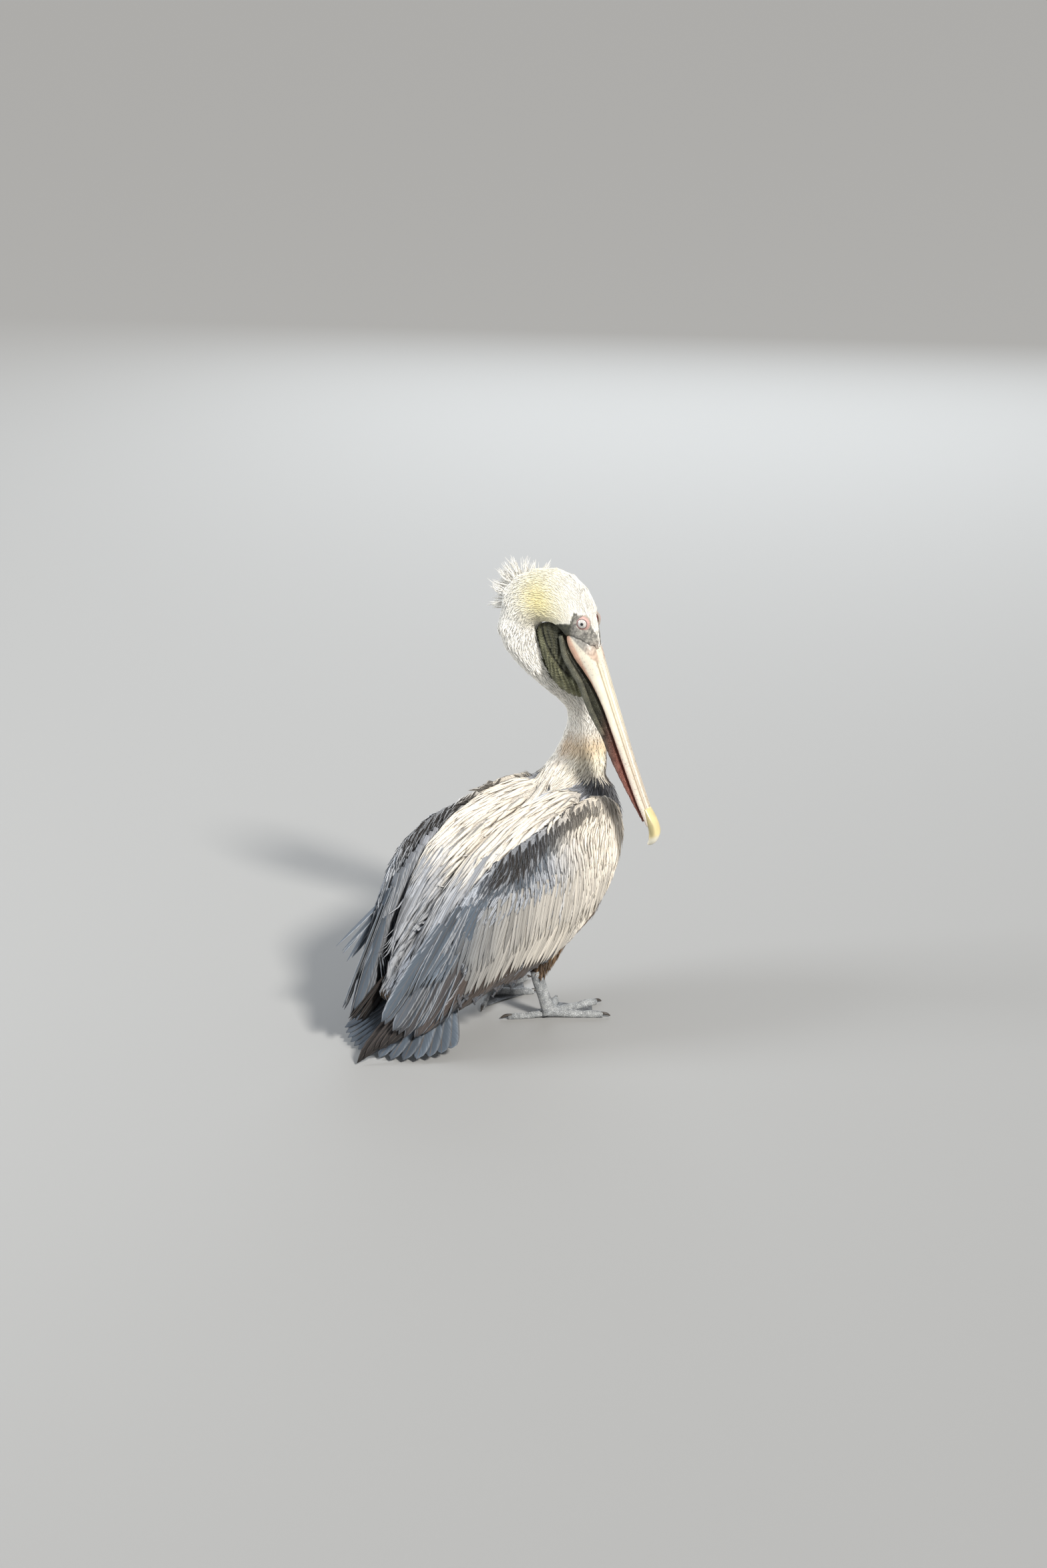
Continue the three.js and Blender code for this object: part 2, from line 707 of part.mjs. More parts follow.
// Neck in three lengths.
const neckCuts = [
  [bird(60, 6, 508), bird(-0.45, 0.2, 0.8)],
  [bird(130, -6, 405), bird(0.1, 0.05, 1)],
];
const neckFree = cut(neckWhole, pouchRoom, ...mandibleRooms, billRoom);
const [neckUpper, neckRest] = part(neckFree, ...neckCuts[0]);
const [neckMiddle, neckLower] = part(neckRest, ...neckCuts[1]);
const wingGeometry = { [LEFT]: wingPanel(LEFT), [RIGHT]: wingPanel(RIGHT) };
const wingRooms = [room(wingGeometry[LEFT]), room(wingGeometry[RIGHT])];
add('neck_upper', neckUpper, SKIN_TONES.white, MATT, BROAD_SLIVER);
add('neck_middle', neckMiddle, SKIN_TONES.cream);
add('neck_lower', cut(neckLower, ...wingRooms), SKIN_TONES.cream);

// Trunk and shoulder plumage.
const scapularGeometry = { [LEFT]: scapular(LEFT), [RIGHT]: scapular(RIGHT) };
const neckRoom = room(neck);
const scapularRooms = [room(scapularGeometry[LEFT]), room(scapularGeometry[RIGHT])];
const hips = { [LEFT]: thigh(LEFT), [RIGHT]: thigh(RIGHT) };
const legRooms = [LEFT, RIGHT].flatMap((hand) => [room(hips[hand]), room(tarsus(hand))]);
add('trunk', cut(solid(trunk), ...wingRooms, ...scapularRooms, neckRoom, ...legRooms), SKIN_TONES.brown);

const middle = bird(0, 0, 0);
for (const hand of [LEFT, RIGHT]) {
  const name = hand === LEFT ? 'left' : 'right';
  const half = keep(solid(scapularGeometry[hand]), middle, bird(0, hand, 0));
  add(`scapulars_${name}`, cut(half, neckRoom, ...wingRooms), SKIN_TONES.silver);
}

// Wings, each parted into coverts, secondaries and primaries.
const trunkRoom = room(trunk);
const bladeRooms = [];
const NUDGES = [-GAP, 0, GAP].flatMap((aside) => [-GAP, 0, GAP].map((lift) => [aside, lift, lift]));
for (const hand of [LEFT, RIGHT]) {
  const name = hand === LEFT ? 'left' : 'right';
  const slopes = bird(1, 0, 0.35);
  const wing = solid(wingGeometry[hand]);
  const [coverts, rest] = part(wing, bird(-86, 0, 200), slopes);
  const secondaryBlades = quillTips(hand, 0.36, 0.68, 34, 27);
  const [secondaries, tipPanel] = part(rest, bird(-196, 0, 130), slopes);
  const [blades] = part(join(...secondaryBlades.map(solid)), bird(-232, 0, 80), slopes);
  const kept = cut(blades, trunkRoom, ...scapularRooms, room(wingGeometry[-hand]));
  const [, rearBlades] = part(kept, bird(-86, 0, 200), slopes);
  const darkTips = cut(join(...primaryTips(hand).map(solid)), trunkRoom, ...scapularRooms);
  const midline = keep(darkTips, bird(0, hand * (GAP / 2), 0), bird(0, hand, 0));
  add(`wing_${name}_coverts`, coverts, SKIN_TONES.silver);
  const laid = join(secondaries, rearBlades);
  const laidRooms = NUDGES.map((nudge) => laid.translate(nudge));
  add(`wing_${name}_secondaries`, laid, SKIN_TONES.silver);
  const secondaryRooms = secondaryBlades.map((blade) => room(blade, 4 * GAP));
  const [, behind] = part(join(tipPanel, midline), bird(-196, 0, 130), slopes);
  add(`wing_${name}_primaries`, cut(behind, ...secondaryRooms, ...laidRooms), SKIN_TONES.dark);
  bladeRooms.push(...secondaryRooms, ...primaryTips(hand).map((blade) => room(blade)));
}

// Tail.
const tailWhole = join(...Array.from({ length: TAIL_FEATHERS }, (_, k) => solid(tailFeather(k))));
add('tail', onFloor(cut(tailWhole, trunkRoom, ...wingRooms, ...bladeRooms)), SKIN_TONES.brown);

// Legs, feet and claws.
for (const hand of [LEFT, RIGHT]) {
  const name = hand === LEFT ? 'left' : 'right';
  const shin = tarsus(hand);
  const toes = TOES.map((toe) => solid(toeBody(toe, hand)));
  const claws = TOES.map((toe) => claw(toe, hand));
  const shinCut = [bird(-2, hand * 62, 15), bird(-0.2, 0, 1)];
  const footWhole = onFloor(join(...toes, solid(web(hand))));
  const [leg, ankle] = part(solid(shin), ...shinCut);
  const [, foot] = part(join(footWhole, onFloor(ankle)), ...shinCut);
  const hip = cut(solid(hips[hand]), room(shin), room(wingGeometry[hand]));
  add(`thigh_${name}`, hip, SKIN_TONES.brown);
  add(`tarsus_${name}`, leg, SKIN_TONES.scale, 0.6);
  add(`foot_${name}`, cut(foot, ...claws.map((c) => room(c, 2 * GAP))), SKIN_TONES.scale, 0.6);
  TOES.forEach((toe, k) => add(`claw_${name}_${toe.name}`, solid(claws[k]), SKIN_TONES.dark, 0.4));
}

// The origin lies on the floor, under the middle of the overall box.
const bounds = new THREE.Box3().setFromObject(model);
const underMiddle = bounds.getCenter(new THREE.Vector3()).setZ(bounds.min.z).negate();
for (const mesh of model.children) {
  mesh.geometry.translate(underMiddle.x, underMiddle.y, underMiddle.z);
}

export default model;
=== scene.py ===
"""The looks of a life-size brown pelican: skin, plumage, flight feathers, bill, pouch, eyes and feet.

Sizes written in millimetres are turned into metres by the frames below. The body's frame counts
forward, left and up from the floor point between the ankles. The head's frame counts along the bill,
to the head's left and towards the crown, from the point midway between the eyes.
"""

from __future__ import annotations

import itertools
import json
import logging
import math
from dataclasses import dataclass, replace
from enum import Enum
from typing import Callable, Sequence

import bpy
import numpy as np
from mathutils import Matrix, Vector
from mathutils.bvhtree import BVHTree

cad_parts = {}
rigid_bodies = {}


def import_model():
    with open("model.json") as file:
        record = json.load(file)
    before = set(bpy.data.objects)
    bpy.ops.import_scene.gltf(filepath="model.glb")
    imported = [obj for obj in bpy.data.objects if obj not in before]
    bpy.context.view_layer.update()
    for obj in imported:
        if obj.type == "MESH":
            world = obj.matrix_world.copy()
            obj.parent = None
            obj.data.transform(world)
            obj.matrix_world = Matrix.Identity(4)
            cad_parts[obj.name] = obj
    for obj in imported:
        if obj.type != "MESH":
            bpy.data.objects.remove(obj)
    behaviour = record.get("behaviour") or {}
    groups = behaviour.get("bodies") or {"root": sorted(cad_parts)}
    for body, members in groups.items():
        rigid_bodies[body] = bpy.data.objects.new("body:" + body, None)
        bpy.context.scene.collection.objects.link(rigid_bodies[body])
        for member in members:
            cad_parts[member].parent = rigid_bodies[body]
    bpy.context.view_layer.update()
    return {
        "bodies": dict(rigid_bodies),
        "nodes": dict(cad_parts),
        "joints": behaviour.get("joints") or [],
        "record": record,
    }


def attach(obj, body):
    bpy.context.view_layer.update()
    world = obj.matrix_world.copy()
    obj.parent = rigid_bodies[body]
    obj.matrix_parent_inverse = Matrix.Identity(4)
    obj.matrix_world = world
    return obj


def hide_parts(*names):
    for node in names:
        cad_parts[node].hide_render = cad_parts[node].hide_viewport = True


LOG = logging.getLogger("pelican")
MM = 0.001
Array = np.ndarray
Row3 = tuple[float, float, float]
Mesh, Piece, Material = bpy.types.Mesh, bpy.types.Object, bpy.types.Material
Tree, Node, Socket = bpy.types.NodeTree, bpy.types.Node, bpy.types.NodeSocket


# -------------------- frames


class Hand(Enum):
    """One side of the bird."""

    LEFT = 1
    RIGHT = -1

    @property
    def word(self) -> str:
        """The side as it stands in node names."""
        return self.name.lower()


def unit(vector: Array) -> Array:
    """Vectors of length one, along the last axis."""
    length = np.linalg.norm(vector, axis=-1, keepdims=True)
    return vector / np.maximum(length, 1e-12)


@dataclass(frozen=True)
class BodyFrame:
    """Forward, left and up from the floor point between the ankles."""

    feet: Row3 = (0.032376, -0.076636, 0.0)

    @staticmethod
    def turned(rows: Sequence) -> Array:
        """Rows of forward, left and up along the scene's axes."""
        rows = np.asarray(rows, float)
        return np.stack([rows[..., 1], -rows[..., 0], rows[..., 2]], -1)

    def at(self, rows: Sequence) -> Array:
        """Points in metres for rows of forward, left and up in millimetres."""
        return self.turned(rows) * MM + np.array(self.feet)

    def towards(self, rows: Sequence) -> Array:
        """Unit directions for rows of forward, left and up."""
        return unit(self.turned(rows))

    def local(self, points: Array) -> Array:
        """Forward, left and up in millimetres of points in metres."""
        shifted = (points - np.array(self.feet)) / MM
        return np.stack([-shifted[..., 1], shifted[..., 0], shifted[..., 2]], -1)


BODY = BodyFrame()


@dataclass(frozen=True)
class HeadFrame:
    """Along the bill, to the head's left and towards the crown, from between the eyes."""

    place: Row3 = (62.1, -76.2, 578.3)
    bill: Row3 = (0.088, -0.379, -0.921)
    flank: Row3 = (0.974, 0.225, 0.0)

    @property
    def axes(self) -> Array:
        """The three unit axes as rows."""
        along = BODY.towards(self.bill)
        left = BODY.towards(self.flank)
        return np.stack([along, left, unit(-np.cross(left, along))])

    def at(self, rows: Sequence) -> Array:
        """Points in metres for rows in the head's frame, in millimetres."""
        return BODY.at(self.place) + np.asarray(rows, float) @ self.axes * MM

    def towards(self, rows: Sequence) -> Array:
        """Unit directions for rows in the head's frame."""
        return unit(np.asarray(rows, float) @ self.axes)

    def local(self, points: Array) -> Array:
        """Head-frame millimetres of points in metres."""
        return (points - BODY.at(self.place)) @ self.axes.T / MM


HEAD = HeadFrame()


# -------------------- numbers


def smooth_rows(rows: Sequence, steps: Array) -> Array:
    """Catmull-Rom interpolation of rows of numbers.

    Args:
        rows: at least two rows, the first at 0 and the last at 1.
        steps: where to read, each from 0 to 1.

    Returns:
        One row for each step.
    """
    rows = np.asarray(rows, float)
    last = len(rows) - 1
    spot = np.clip(np.asarray(steps, float) * last, 0, last - 1e-9)
    i = np.floor(spot).astype(int)
    u = (spot - i).reshape(-1, *([1] * (rows.ndim - 1)))
    a, b, c, d = (rows[np.clip(i + k, 0, last)] for k in (-1, 0, 1, 2))
    square = 2 * a - 5 * b + 4 * c - d
    return (2 * b + (c - a) * u + square * u**2 + (3 * b - a - 3 * c + d) * u**3) / 2


def step_up(value: Array, low: float, high: float) -> Array:
    """A smooth rise from 0 at low to 1 at high."""
    t = np.clip((value - low) / (high - low), 0, 1)
    return t * t * (3 - 2 * t)


def bump_at(value: Array, centre: float, width: float) -> Array:
    """A bell of height 1 about centre."""
    return np.exp(-(((value - centre) / width) ** 2))


def inside(points: Array, outline: Sequence) -> Array:
    """Whether flat points lie inside a closed outline."""
    corners = np.asarray(outline, float)
    x, y = points[:, 0], points[:, 1]
    found = np.zeros(len(points), bool)
    for (x0, y0), (x1, y1) in zip(corners, np.roll(corners, -1, 0)):
        crosses = (y0 > y) != (y1 > y)
        found ^= crosses & (x < (x1 - x0) * (y - y0) / (y1 - y0 + 1e-12) + x0)
    return found


# -------------------- meshes


def linked(name: str, data: object) -> Piece:
    """A new object in the scene that holds the data."""
    piece = bpy.data.objects.new(name, data)
    bpy.context.scene.collection.objects.link(piece)
    return piece


def new_object(name: str, points: Array, faces: Sequence, smooth: bool = True) -> Piece:
    """A linked mesh object from points and faces."""
    mesh = bpy.data.meshes.new(name)
    mesh.from_pydata(np.asarray(points, float).tolist(), [], [list(map(int, f)) for f in faces])
    mesh.polygons.foreach_set("use_smooth", np.full(len(mesh.polygons), smooth))
    return linked(name, mesh)


def closed_object(name: str, points: Array, faces: Sequence) -> Piece:
    """A linked mesh object whose faces point outwards."""
    piece = new_object(name, points, faces)
    if signed_volume(piece.data) < 0:
        piece.data.flip_normals()
    return piece


def rows_of(items: Sequence, key: str, width: int = 3, kind: type = np.float32) -> Array:
    """A property of a mesh's points, corners or triangles as rows of numbers."""
    flat = np.empty(len(items) * width, kind)
    items.foreach_get(key, flat)
    return flat.reshape(-1, width)


def points_of(mesh: Mesh) -> Array:
    """The mesh's points as an array."""
    return rows_of(mesh.vertices, "co").astype(float)


def normals_of(mesh: Mesh) -> Array:
    """The mesh's point normals as an array."""
    return rows_of(mesh.vertex_normals, "vector").astype(float)


def move_points(mesh: Mesh, points: Array) -> None:
    """Puts the mesh's points in new places."""
    mesh.vertices.foreach_set("co", points.astype(np.float32).ravel())
    mesh.update()


def note(mesh: Mesh, name: str, values: Array) -> None:
    """Keeps a number, vector or colour for each point, for the materials to read."""
    kind, key = {1: ("FLOAT", "value"), 3: ("FLOAT_VECTOR", "vector"), 4: ("FLOAT_COLOR", "color")}[
        1 if values.ndim == 1 else values.shape[1]
    ]
    store = mesh.attributes.get(name) or mesh.attributes.new(name, kind, "POINT")
    store.data.foreach_set(key, values.astype(np.float32).ravel())


def note_colour(mesh: Mesh, name: str, colours: Array) -> None:
    """Keeps a colour for each point."""
    note(mesh, name, np.concatenate([colours, np.ones((len(colours), 1))], 1))


def applied(piece: Piece) -> Piece:
    """The same piece with its modifiers worked into its mesh."""
    shaped = bpy.data.meshes.new_from_object(piece.evaluated_get(bpy.context.evaluated_depsgraph_get()))
    piece.modifiers.clear()
    piece.data = shaped
    return piece


def grid_faces(rings: int, sides: int, around: int = 0) -> list[tuple[int, ...]]:
    """Quads between successive rings of points, and between the last and the first if around is 1."""
    return [
        (r * sides + k, r * sides + (k + 1) % sides, n * sides + (k + 1) % sides, n * sides + k)
        for r, n in ((r, (r + 1) % rings) for r in range(rings - 1 + around))
        for k in range(sides)
    ]


def tube(name: str, rings: Array) -> Piece:
    """A closed body through rings of points, shape (rings, sides, 3), with fans at its ends."""
    count, sides = rings.shape[:2]
    points = np.concatenate([rings.reshape(-1, 3), rings[0].mean(0)[None], rings[-1].mean(0)[None]])
    faces = grid_faces(count, sides)
    start, end, base = count * sides, count * sides + 1, (count - 1) * sides
    faces += [(start, (k + 1) % sides, k) for k in range(sides)]
    faces += [(end, base + k, base + (k + 1) % sides) for k in range(sides)]
    return closed_object(name, points, faces)


def signed_volume(mesh: Mesh) -> float:
    """The volume inside the mesh, negative where its faces point inwards."""
    mesh.calc_loop_triangles()
    a, b, c = points_of(mesh)[rows_of(mesh.loop_triangles, "vertices", 3, np.int32)].transpose(1, 0, 2)
    return float(np.einsum("ij,ij->i", a, np.cross(b, c)).sum() / 6)


def sweep(
    stations: Sequence, flank: Array, rings: int, sides: int, square: float = 2.0
) -> tuple[Array, Array, Array]:
    """Rings of points along a smooth path.

    Args:
        stations: rows of a point in metres and the half width and half height in millimetres.
        flank: the direction that widths are measured along.
        rings: how many rings.
        sides: how many points in each ring.
        square: exponent of the section, 2 for an ellipse and more for a boxier one.

    Returns:
        The rings' points, their outward directions and each point's angle in its ring.
    """
    t = np.linspace(0, 1, rings)
    rows = np.array([[*s[0], s[1], s[2]] for s in stations], float)
    read = smooth_rows(rows, t)
    ahead = smooth_rows(rows, np.minimum(t + 0.01, 1))[:, :3]
    behind = smooth_rows(rows, np.maximum(t - 0.01, 0))[:, :3]
    tangent = unit(ahead - behind)
    across = unit(flank - (tangent @ flank)[:, None] * tangent)
    high = np.cross(tangent, across)
    angle = np.linspace(0, 2 * math.pi, sides, endpoint=False)
    c, s = np.cos(angle), np.sin(angle)
    x = np.sign(c) * np.abs(c) ** (2 / square)
    y = np.sign(s) * np.abs(s) ** (2 / square)
    wide = across[:, None] * (read[:, 3, None] * x)[..., None] * MM
    tall = high[:, None] * (read[:, 4, None] * y)[..., None] * MM
    outward = unit(across[:, None] * c[:, None] + high[:, None] * s[:, None])
    return read[:, None, :3] + wide + tall, outward, np.broadcast_to(angle, (rings, sides))


def raised(points: Array, outward: Array, height: Array) -> Array:
    """Points moved outwards by a height in millimetres."""
    return points + outward * (height * MM)[..., None]


# -------------------- materials


class Nodes:
    """A shader or geometry node tree that is being built."""

    def __init__(self, tree: Tree) -> None:
        """Starts from an empty tree."""
        self.tree = tree
        tree.nodes.clear()

    def add(self, kind: str, settings: dict | None = None, **inputs: object) -> Node:
        """Adds a node.

        Args:
            kind: the node's type.
            settings: properties of the node, by name.
            inputs: sockets by their name in lower case with underscores, or i0, i1 and so on by
                place. A value is a socket to link from or a constant.

        Returns:
            The node.
        """
        node = self.tree.nodes.new(kind)
        for key, value in (settings or {}).items():
            setattr(node, key, value)
        self.fill(node, **inputs)
        return node

    def fill(self, node: Node, **inputs: object) -> None:
        """Gives a node's inputs their sources or constants, with keys as for add."""
        for key, value in inputs.items():
            if key[0] == "i" and key[1:].isdigit():
                socket = node.inputs[int(key[1:])]
            else:
                named = [s for s in node.inputs if s.enabled and s.name.lower().replace(" ", "_") == key]
                socket = named[0]
            if isinstance(value, Socket):
                self.tree.links.new(value, socket)
            else:
                socket.default_value = value

    def maths(self, how: str, *values: object, kind: str = "ShaderNodeMath") -> Socket:
        """The result of a Math node, or of a Vector Math node."""
        named = {f"i{k}": value for k, value in enumerate(values)}
        return self.add(kind, {"operation": how}, **named).outputs[0]

    def times(self, first: object, second: object) -> Socket:
        """The product of two numbers."""
        return self.maths("MULTIPLY", first, second)

    def range(self, value: object, low: float, high: float, start: float = 0.0, end: float = 1.0) -> Socket:
        """A clamped change of range, from start at low to end at high."""
        return self.add("ShaderNodeMapRange", i0=value, i1=low, i2=high, i3=start, i4=end).outputs[0]

    def mix(self, factor: object, first: object, second: object, how: str = "MIX") -> Socket:
        """A mix of two colours."""
        first, second = ((*c, 1.0) if isinstance(c, tuple) else c for c in (first, second))
        settings = {"data_type": "RGBA", "blend_type": how}
        return self.add("ShaderNodeMix", settings, i0=factor, i6=first, i7=second).outputs[2]

    def number(self, name: str) -> Socket:
        """A number kept on the mesh."""
        return self.add("ShaderNodeAttribute", {"attribute_name": name}).outputs["Fac"]

    def colour(self, name: str) -> Socket:
        """A colour kept on the mesh."""
        return self.add("ShaderNodeAttribute", {"attribute_name": name}).outputs["Color"]

    def bump(self, strength: float, distance: float, height: Socket) -> Socket:
        """Normals roughened by a height."""
        return self.add("ShaderNodeBump", strength=strength, distance=distance, height=height).outputs[0]

    def group(self, tree: Tree, **inputs: object) -> bpy.types.NodeOutputs:
        """The outputs of a shared effect placed with its own values."""
        return self.add("ShaderNodeGroup", {"node_tree": tree}, **inputs).outputs

    def attribute(self, name: str, kind: str = "FLOAT") -> Socket:
        """A named value of the geometry."""
        return self.add("GeometryNodeInputNamedAttribute", {"data_type": kind}, i0=name).outputs[0]

    def stored(self, name: str, kind: str, domain: str, geometry: Socket, value: Socket) -> Socket:
        """The geometry with a value kept under a name."""
        settings = {"data_type": kind, "domain": domain}
        inputs = {"name": name, "geometry": geometry, "value": value}
        return self.add("GeometryNodeStoreNamedAttribute", settings, **inputs).outputs[0]


def group_tree(name: str, inputs: dict[str, float], outputs: Sequence[str]) -> tuple:
    """An empty shader group with named number sockets.

    Args:
        name: the group's name.
        inputs: socket names with their starting value.
        outputs: socket names.

    Returns:
        The tree builder, the sockets of its inputs by name and its output node.
    """
    tree = bpy.data.node_groups.new(name, "ShaderNodeTree")
    for socket, value in inputs.items():
        made = tree.interface.new_socket(socket, in_out="INPUT", socket_type="NodeSocketFloat")
        made.default_value = value
    for socket in outputs:
        tree.interface.new_socket(socket, in_out="OUTPUT", socket_type="NodeSocketFloat")
    nodes = Nodes(tree)
    return nodes, nodes.add("NodeGroupInput").outputs, nodes.add("NodeGroupOutput")


class SharedEffects:
    """Shader groups that several finishes use."""

    def __init__(self) -> None:
        """Builds each group once."""
        self.barbs = self.build_barbs()
        self.mottle = self.build_mottle()
        self.cells = self.build_cells()

    @staticmethod
    def build_barbs() -> Tree:
        """Fine slanting lines on both sides of a feather's shaft."""
        sockets = {"Along": 0.0, "Across": 0.0, "Count": 40.0, "Seed": 0.0}
        nodes, given, sink = group_tree("feather_barbs", sockets, ("Height", "Shaft"))
        aside = nodes.maths("ABSOLUTE", given["Across"])
        slant = nodes.maths("MULTIPLY_ADD", aside, -0.22, given["Along"])
        shifted = nodes.maths("MULTIPLY_ADD", given["Seed"], 3.0, slant)
        flat = {"noise_dimensions": "1D"}
        noise = nodes.add("ShaderNodeTexNoise", flat, w=shifted, scale=19.0, detail=2.0)
        wave = nodes.maths("SINE", nodes.times(slant, given["Count"]))
        height = nodes.maths("MULTIPLY_ADD", wave, 0.28, nodes.times(noise.outputs[0], 2.4))
        shaft = nodes.range(aside, 0.03, 0.11, 1.0, 0.0)
        nodes.fill(sink, height=nodes.maths("MULTIPLY_ADD", shaft, 1.1, height), shaft=shaft)
        return nodes.tree

    @staticmethod
    def build_mottle() -> Tree:
        """Soft patches with finer grain inside them."""
        nodes, given, sink = group_tree("mottle", {"Scale": 60.0}, ("Value", "Grain"))
        place = nodes.add("ShaderNodeTexCoord").outputs["Object"]
        broad = nodes.add("ShaderNodeTexNoise", vector=place, scale=given["Scale"], detail=4.0)
        finer = nodes.times(given["Scale"], 7.0)
        grain = nodes.add("ShaderNodeTexNoise", vector=place, scale=finer, detail=3.0)
        nodes.fill(sink, value=broad.outputs[0], grain=grain.outputs[0])
        return nodes.tree

    @staticmethod
    def build_cells() -> Tree:
        """Small scales or wrinkled cells with sunk edges."""
        sockets = {"Scale": 500.0, "Edge": 0.12, "Stretch": 1.0}
        nodes, given, sink = group_tree("skin_cells", sockets, ("Height",))
        place = nodes.add("ShaderNodeTexCoord").outputs["Object"]
        warp = nodes.add("ShaderNodeTexNoise", vector=place, scale=120.0, detail=2.0).outputs["Color"]
        bent = nodes.maths("MULTIPLY_ADD", warp, (0.003, 0.003, 0.003), place, kind="ShaderNodeVectorMath")
        squeeze = nodes.add("ShaderNodeCombineXYZ", x=1.0, y=1.0, z=given["Stretch"]).outputs[0]
        scaled = nodes.maths("MULTIPLY", bent, squeeze, kind="ShaderNodeVectorMath")
        far = {"feature": "DISTANCE_TO_EDGE"}
        edge = nodes.add("ShaderNodeTexVoronoi", far, vector=scaled, scale=given["Scale"]).outputs[0]
        eased = {"interpolation_type": "SMOOTHSTEP"}
        raised = nodes.add("ShaderNodeMapRange", eased, i0=edge, i1=0.0, i2=given["Edge"])
        nodes.fill(sink, height=raised.outputs[0])
        return nodes.tree


def new_material(name: str) -> tuple[Material, Nodes, Node]:
    """A material with an empty Principled shader on its output."""
    material = bpy.data.materials.new(name)
    material.use_nodes = True
    nodes = Nodes(material.node_tree)
    shader = nodes.add("ShaderNodeBsdfPrincipled")
    nodes.add("ShaderNodeOutputMaterial", i0=shader.outputs[0])
    return material, nodes, shader


@dataclass(frozen=True)
class PlumageFinish:
    """Feathers that carry their colours from core to edge, with an optional painted shadow along both edges
    of each feather for the shade between overlapping feathers.
    """

    name: str
    roughness: float = 0.72
    barb_depth: float = 0.35
    barb_count: float = 150.0
    core_from: float = 0.12
    core_to: float = 0.6
    parting: float = 0.0
    sheen: float = 0.12
    contrast: float = 1.0

    def build(self, effects: SharedEffects) -> Material:
        """Makes the material."""
        material, nodes, shader = new_material(self.name)
        across, tint = nodes.number("across"), nodes.number("tint")
        aside = nodes.maths("ABSOLUTE", across)
        barbs = nodes.group(
            effects.barbs, along=nodes.number("along"), across=across, count=self.barb_count, seed=tint
        )
        ragged = nodes.maths("MULTIPLY_ADD", barbs["Height"], 0.13, aside)
        core = nodes.range(ragged, self.core_from, self.core_to, 1.0, 0.0)
        body = nodes.mix(core, nodes.colour("edge_colour"), nodes.colour("core_colour"))
        shaft = nodes.times(barbs["Shaft"], nodes.number("shaft"))
        shafted = nodes.mix(shaft, body, nodes.colour("shaft_colour"))
        c = self.contrast
        shade = nodes.range(barbs["Height"], 0.5, 1.9, 1 - 0.18 * c, 1 + 0.12 * c)
        toned = nodes.times(shade, nodes.range(tint, 0.0, 1.0, 1 - 0.14 * c, 1 + 0.1 * c))
        # Painted shadow: both edges of each feather are darkened, standing in for the shade where one
        # feather overlaps the next.
        if self.parting:
            toned = nodes.times(toned, nodes.range(aside, 0.84, 1.0, 1.0, 1.0 - self.parting))
        tone = nodes.add("ShaderNodeCombineColor", i0=toned, i1=toned, i2=toned)
        nodes.fill(
            shader,
            base_color=nodes.mix(1.0, shafted, tone.outputs[0], "MULTIPLY"),
            normal=nodes.bump(self.barb_depth, 0.0004, barbs["Height"]),
            roughness=self.roughness,
            sheen_weight=self.sheen,
            specular_ior_level=0.35,
        )
        return material


@dataclass(frozen=True)
class UnderSkinFinish:
    """What shows between the feathers and on the bare face."""

    name: str = "under_skin"

    def build(self, effects: SharedEffects) -> Material:
        """Makes the material."""
        material, nodes, shader = new_material(self.name)
        mottle = nodes.group(effects.mottle, scale=210.0)
        cells = nodes.group(effects.cells, scale=620.0, edge=0.22)
        bare, grain = nodes.number("bare"), mottle["Grain"]
        patchy = nodes.range(grain, 0.35, 0.65)
        coat = nodes.mix(patchy, nodes.colour("core_colour"), nodes.colour("edge_colour"))
        spotty = nodes.maths("MULTIPLY_ADD", grain, 0.5, nodes.times(mottle["Value"], 0.5))
        spots = nodes.range(spotty, 0.42, 0.58)
        face = nodes.mix(spots, nodes.colour("face_dark"), nodes.colour("face_pale"))
        wrinkled = nodes.mix(nodes.range(cells["Height"], 0.0, 1.0, 0.55, 0.0), face, (0.05, 0.05, 0.05))
        height = nodes.maths("ADD", nodes.times(cells["Height"], bare), nodes.times(grain, 0.7))
        nodes.fill(
            shader,
            base_color=nodes.mix(bare, coat, wrinkled),
            normal=nodes.bump(0.6, 0.0006, height),
            roughness=nodes.range(bare, 0.0, 1.0, 0.85, 0.5),
        )
        return material


@dataclass(frozen=True)
class SkinFinish:
    """Bare wrinkled or scaly skin and horn, coloured by a zone from deep to pale."""

    name: str
    cell_scale: float
    cell_edge: float = 0.2
    stretch: float = 1.0
    depth: float = 0.7
    relief: float = 0.0006
    roughness: float = 0.5
    crease: float = 0.5
    mottle_scale: float = 90.0
    speckle: float = 0.0
    coat: float = 0.0

    def build(self, effects: SharedEffects) -> Material:
        """Makes the material."""
        material, nodes, shader = new_material(self.name)
        cells = nodes.group(effects.cells, scale=self.cell_scale, edge=self.cell_edge, stretch=self.stretch)
        mottle = nodes.group(effects.mottle, scale=self.mottle_scale)
        uneven = nodes.times(nodes.range(mottle["Value"], 0.36, 0.66), 0.8)
        body = nodes.mix(uneven, nodes.colour("edge_colour"), nodes.colour("core_colour"))
        dark = nodes.mix(1.0, body, (0.25, 0.25, 0.24), "MULTIPLY")
        creased = nodes.mix(nodes.range(cells["Height"], 0.0, 1.0, self.crease, 0.0), body, dark)
        flecks = nodes.times(nodes.range(mottle["Grain"], 0.57, 0.66), nodes.number("speckle"))
        height = nodes.maths("MULTIPLY_ADD", mottle["Grain"], 0.35, cells["Height"])
        nodes.fill(
            shader,
            base_color=nodes.mix(nodes.times(flecks, self.speckle), creased, (0.17, 0.15, 0.14)),
            normal=nodes.bump(self.depth, self.relief, height),
            roughness=nodes.range(mottle["Value"], 0.3, 0.7, self.roughness - 0.08, self.roughness + 0.1),
            coat_weight=self.coat,
            coat_roughness=0.2,
        )
        return material


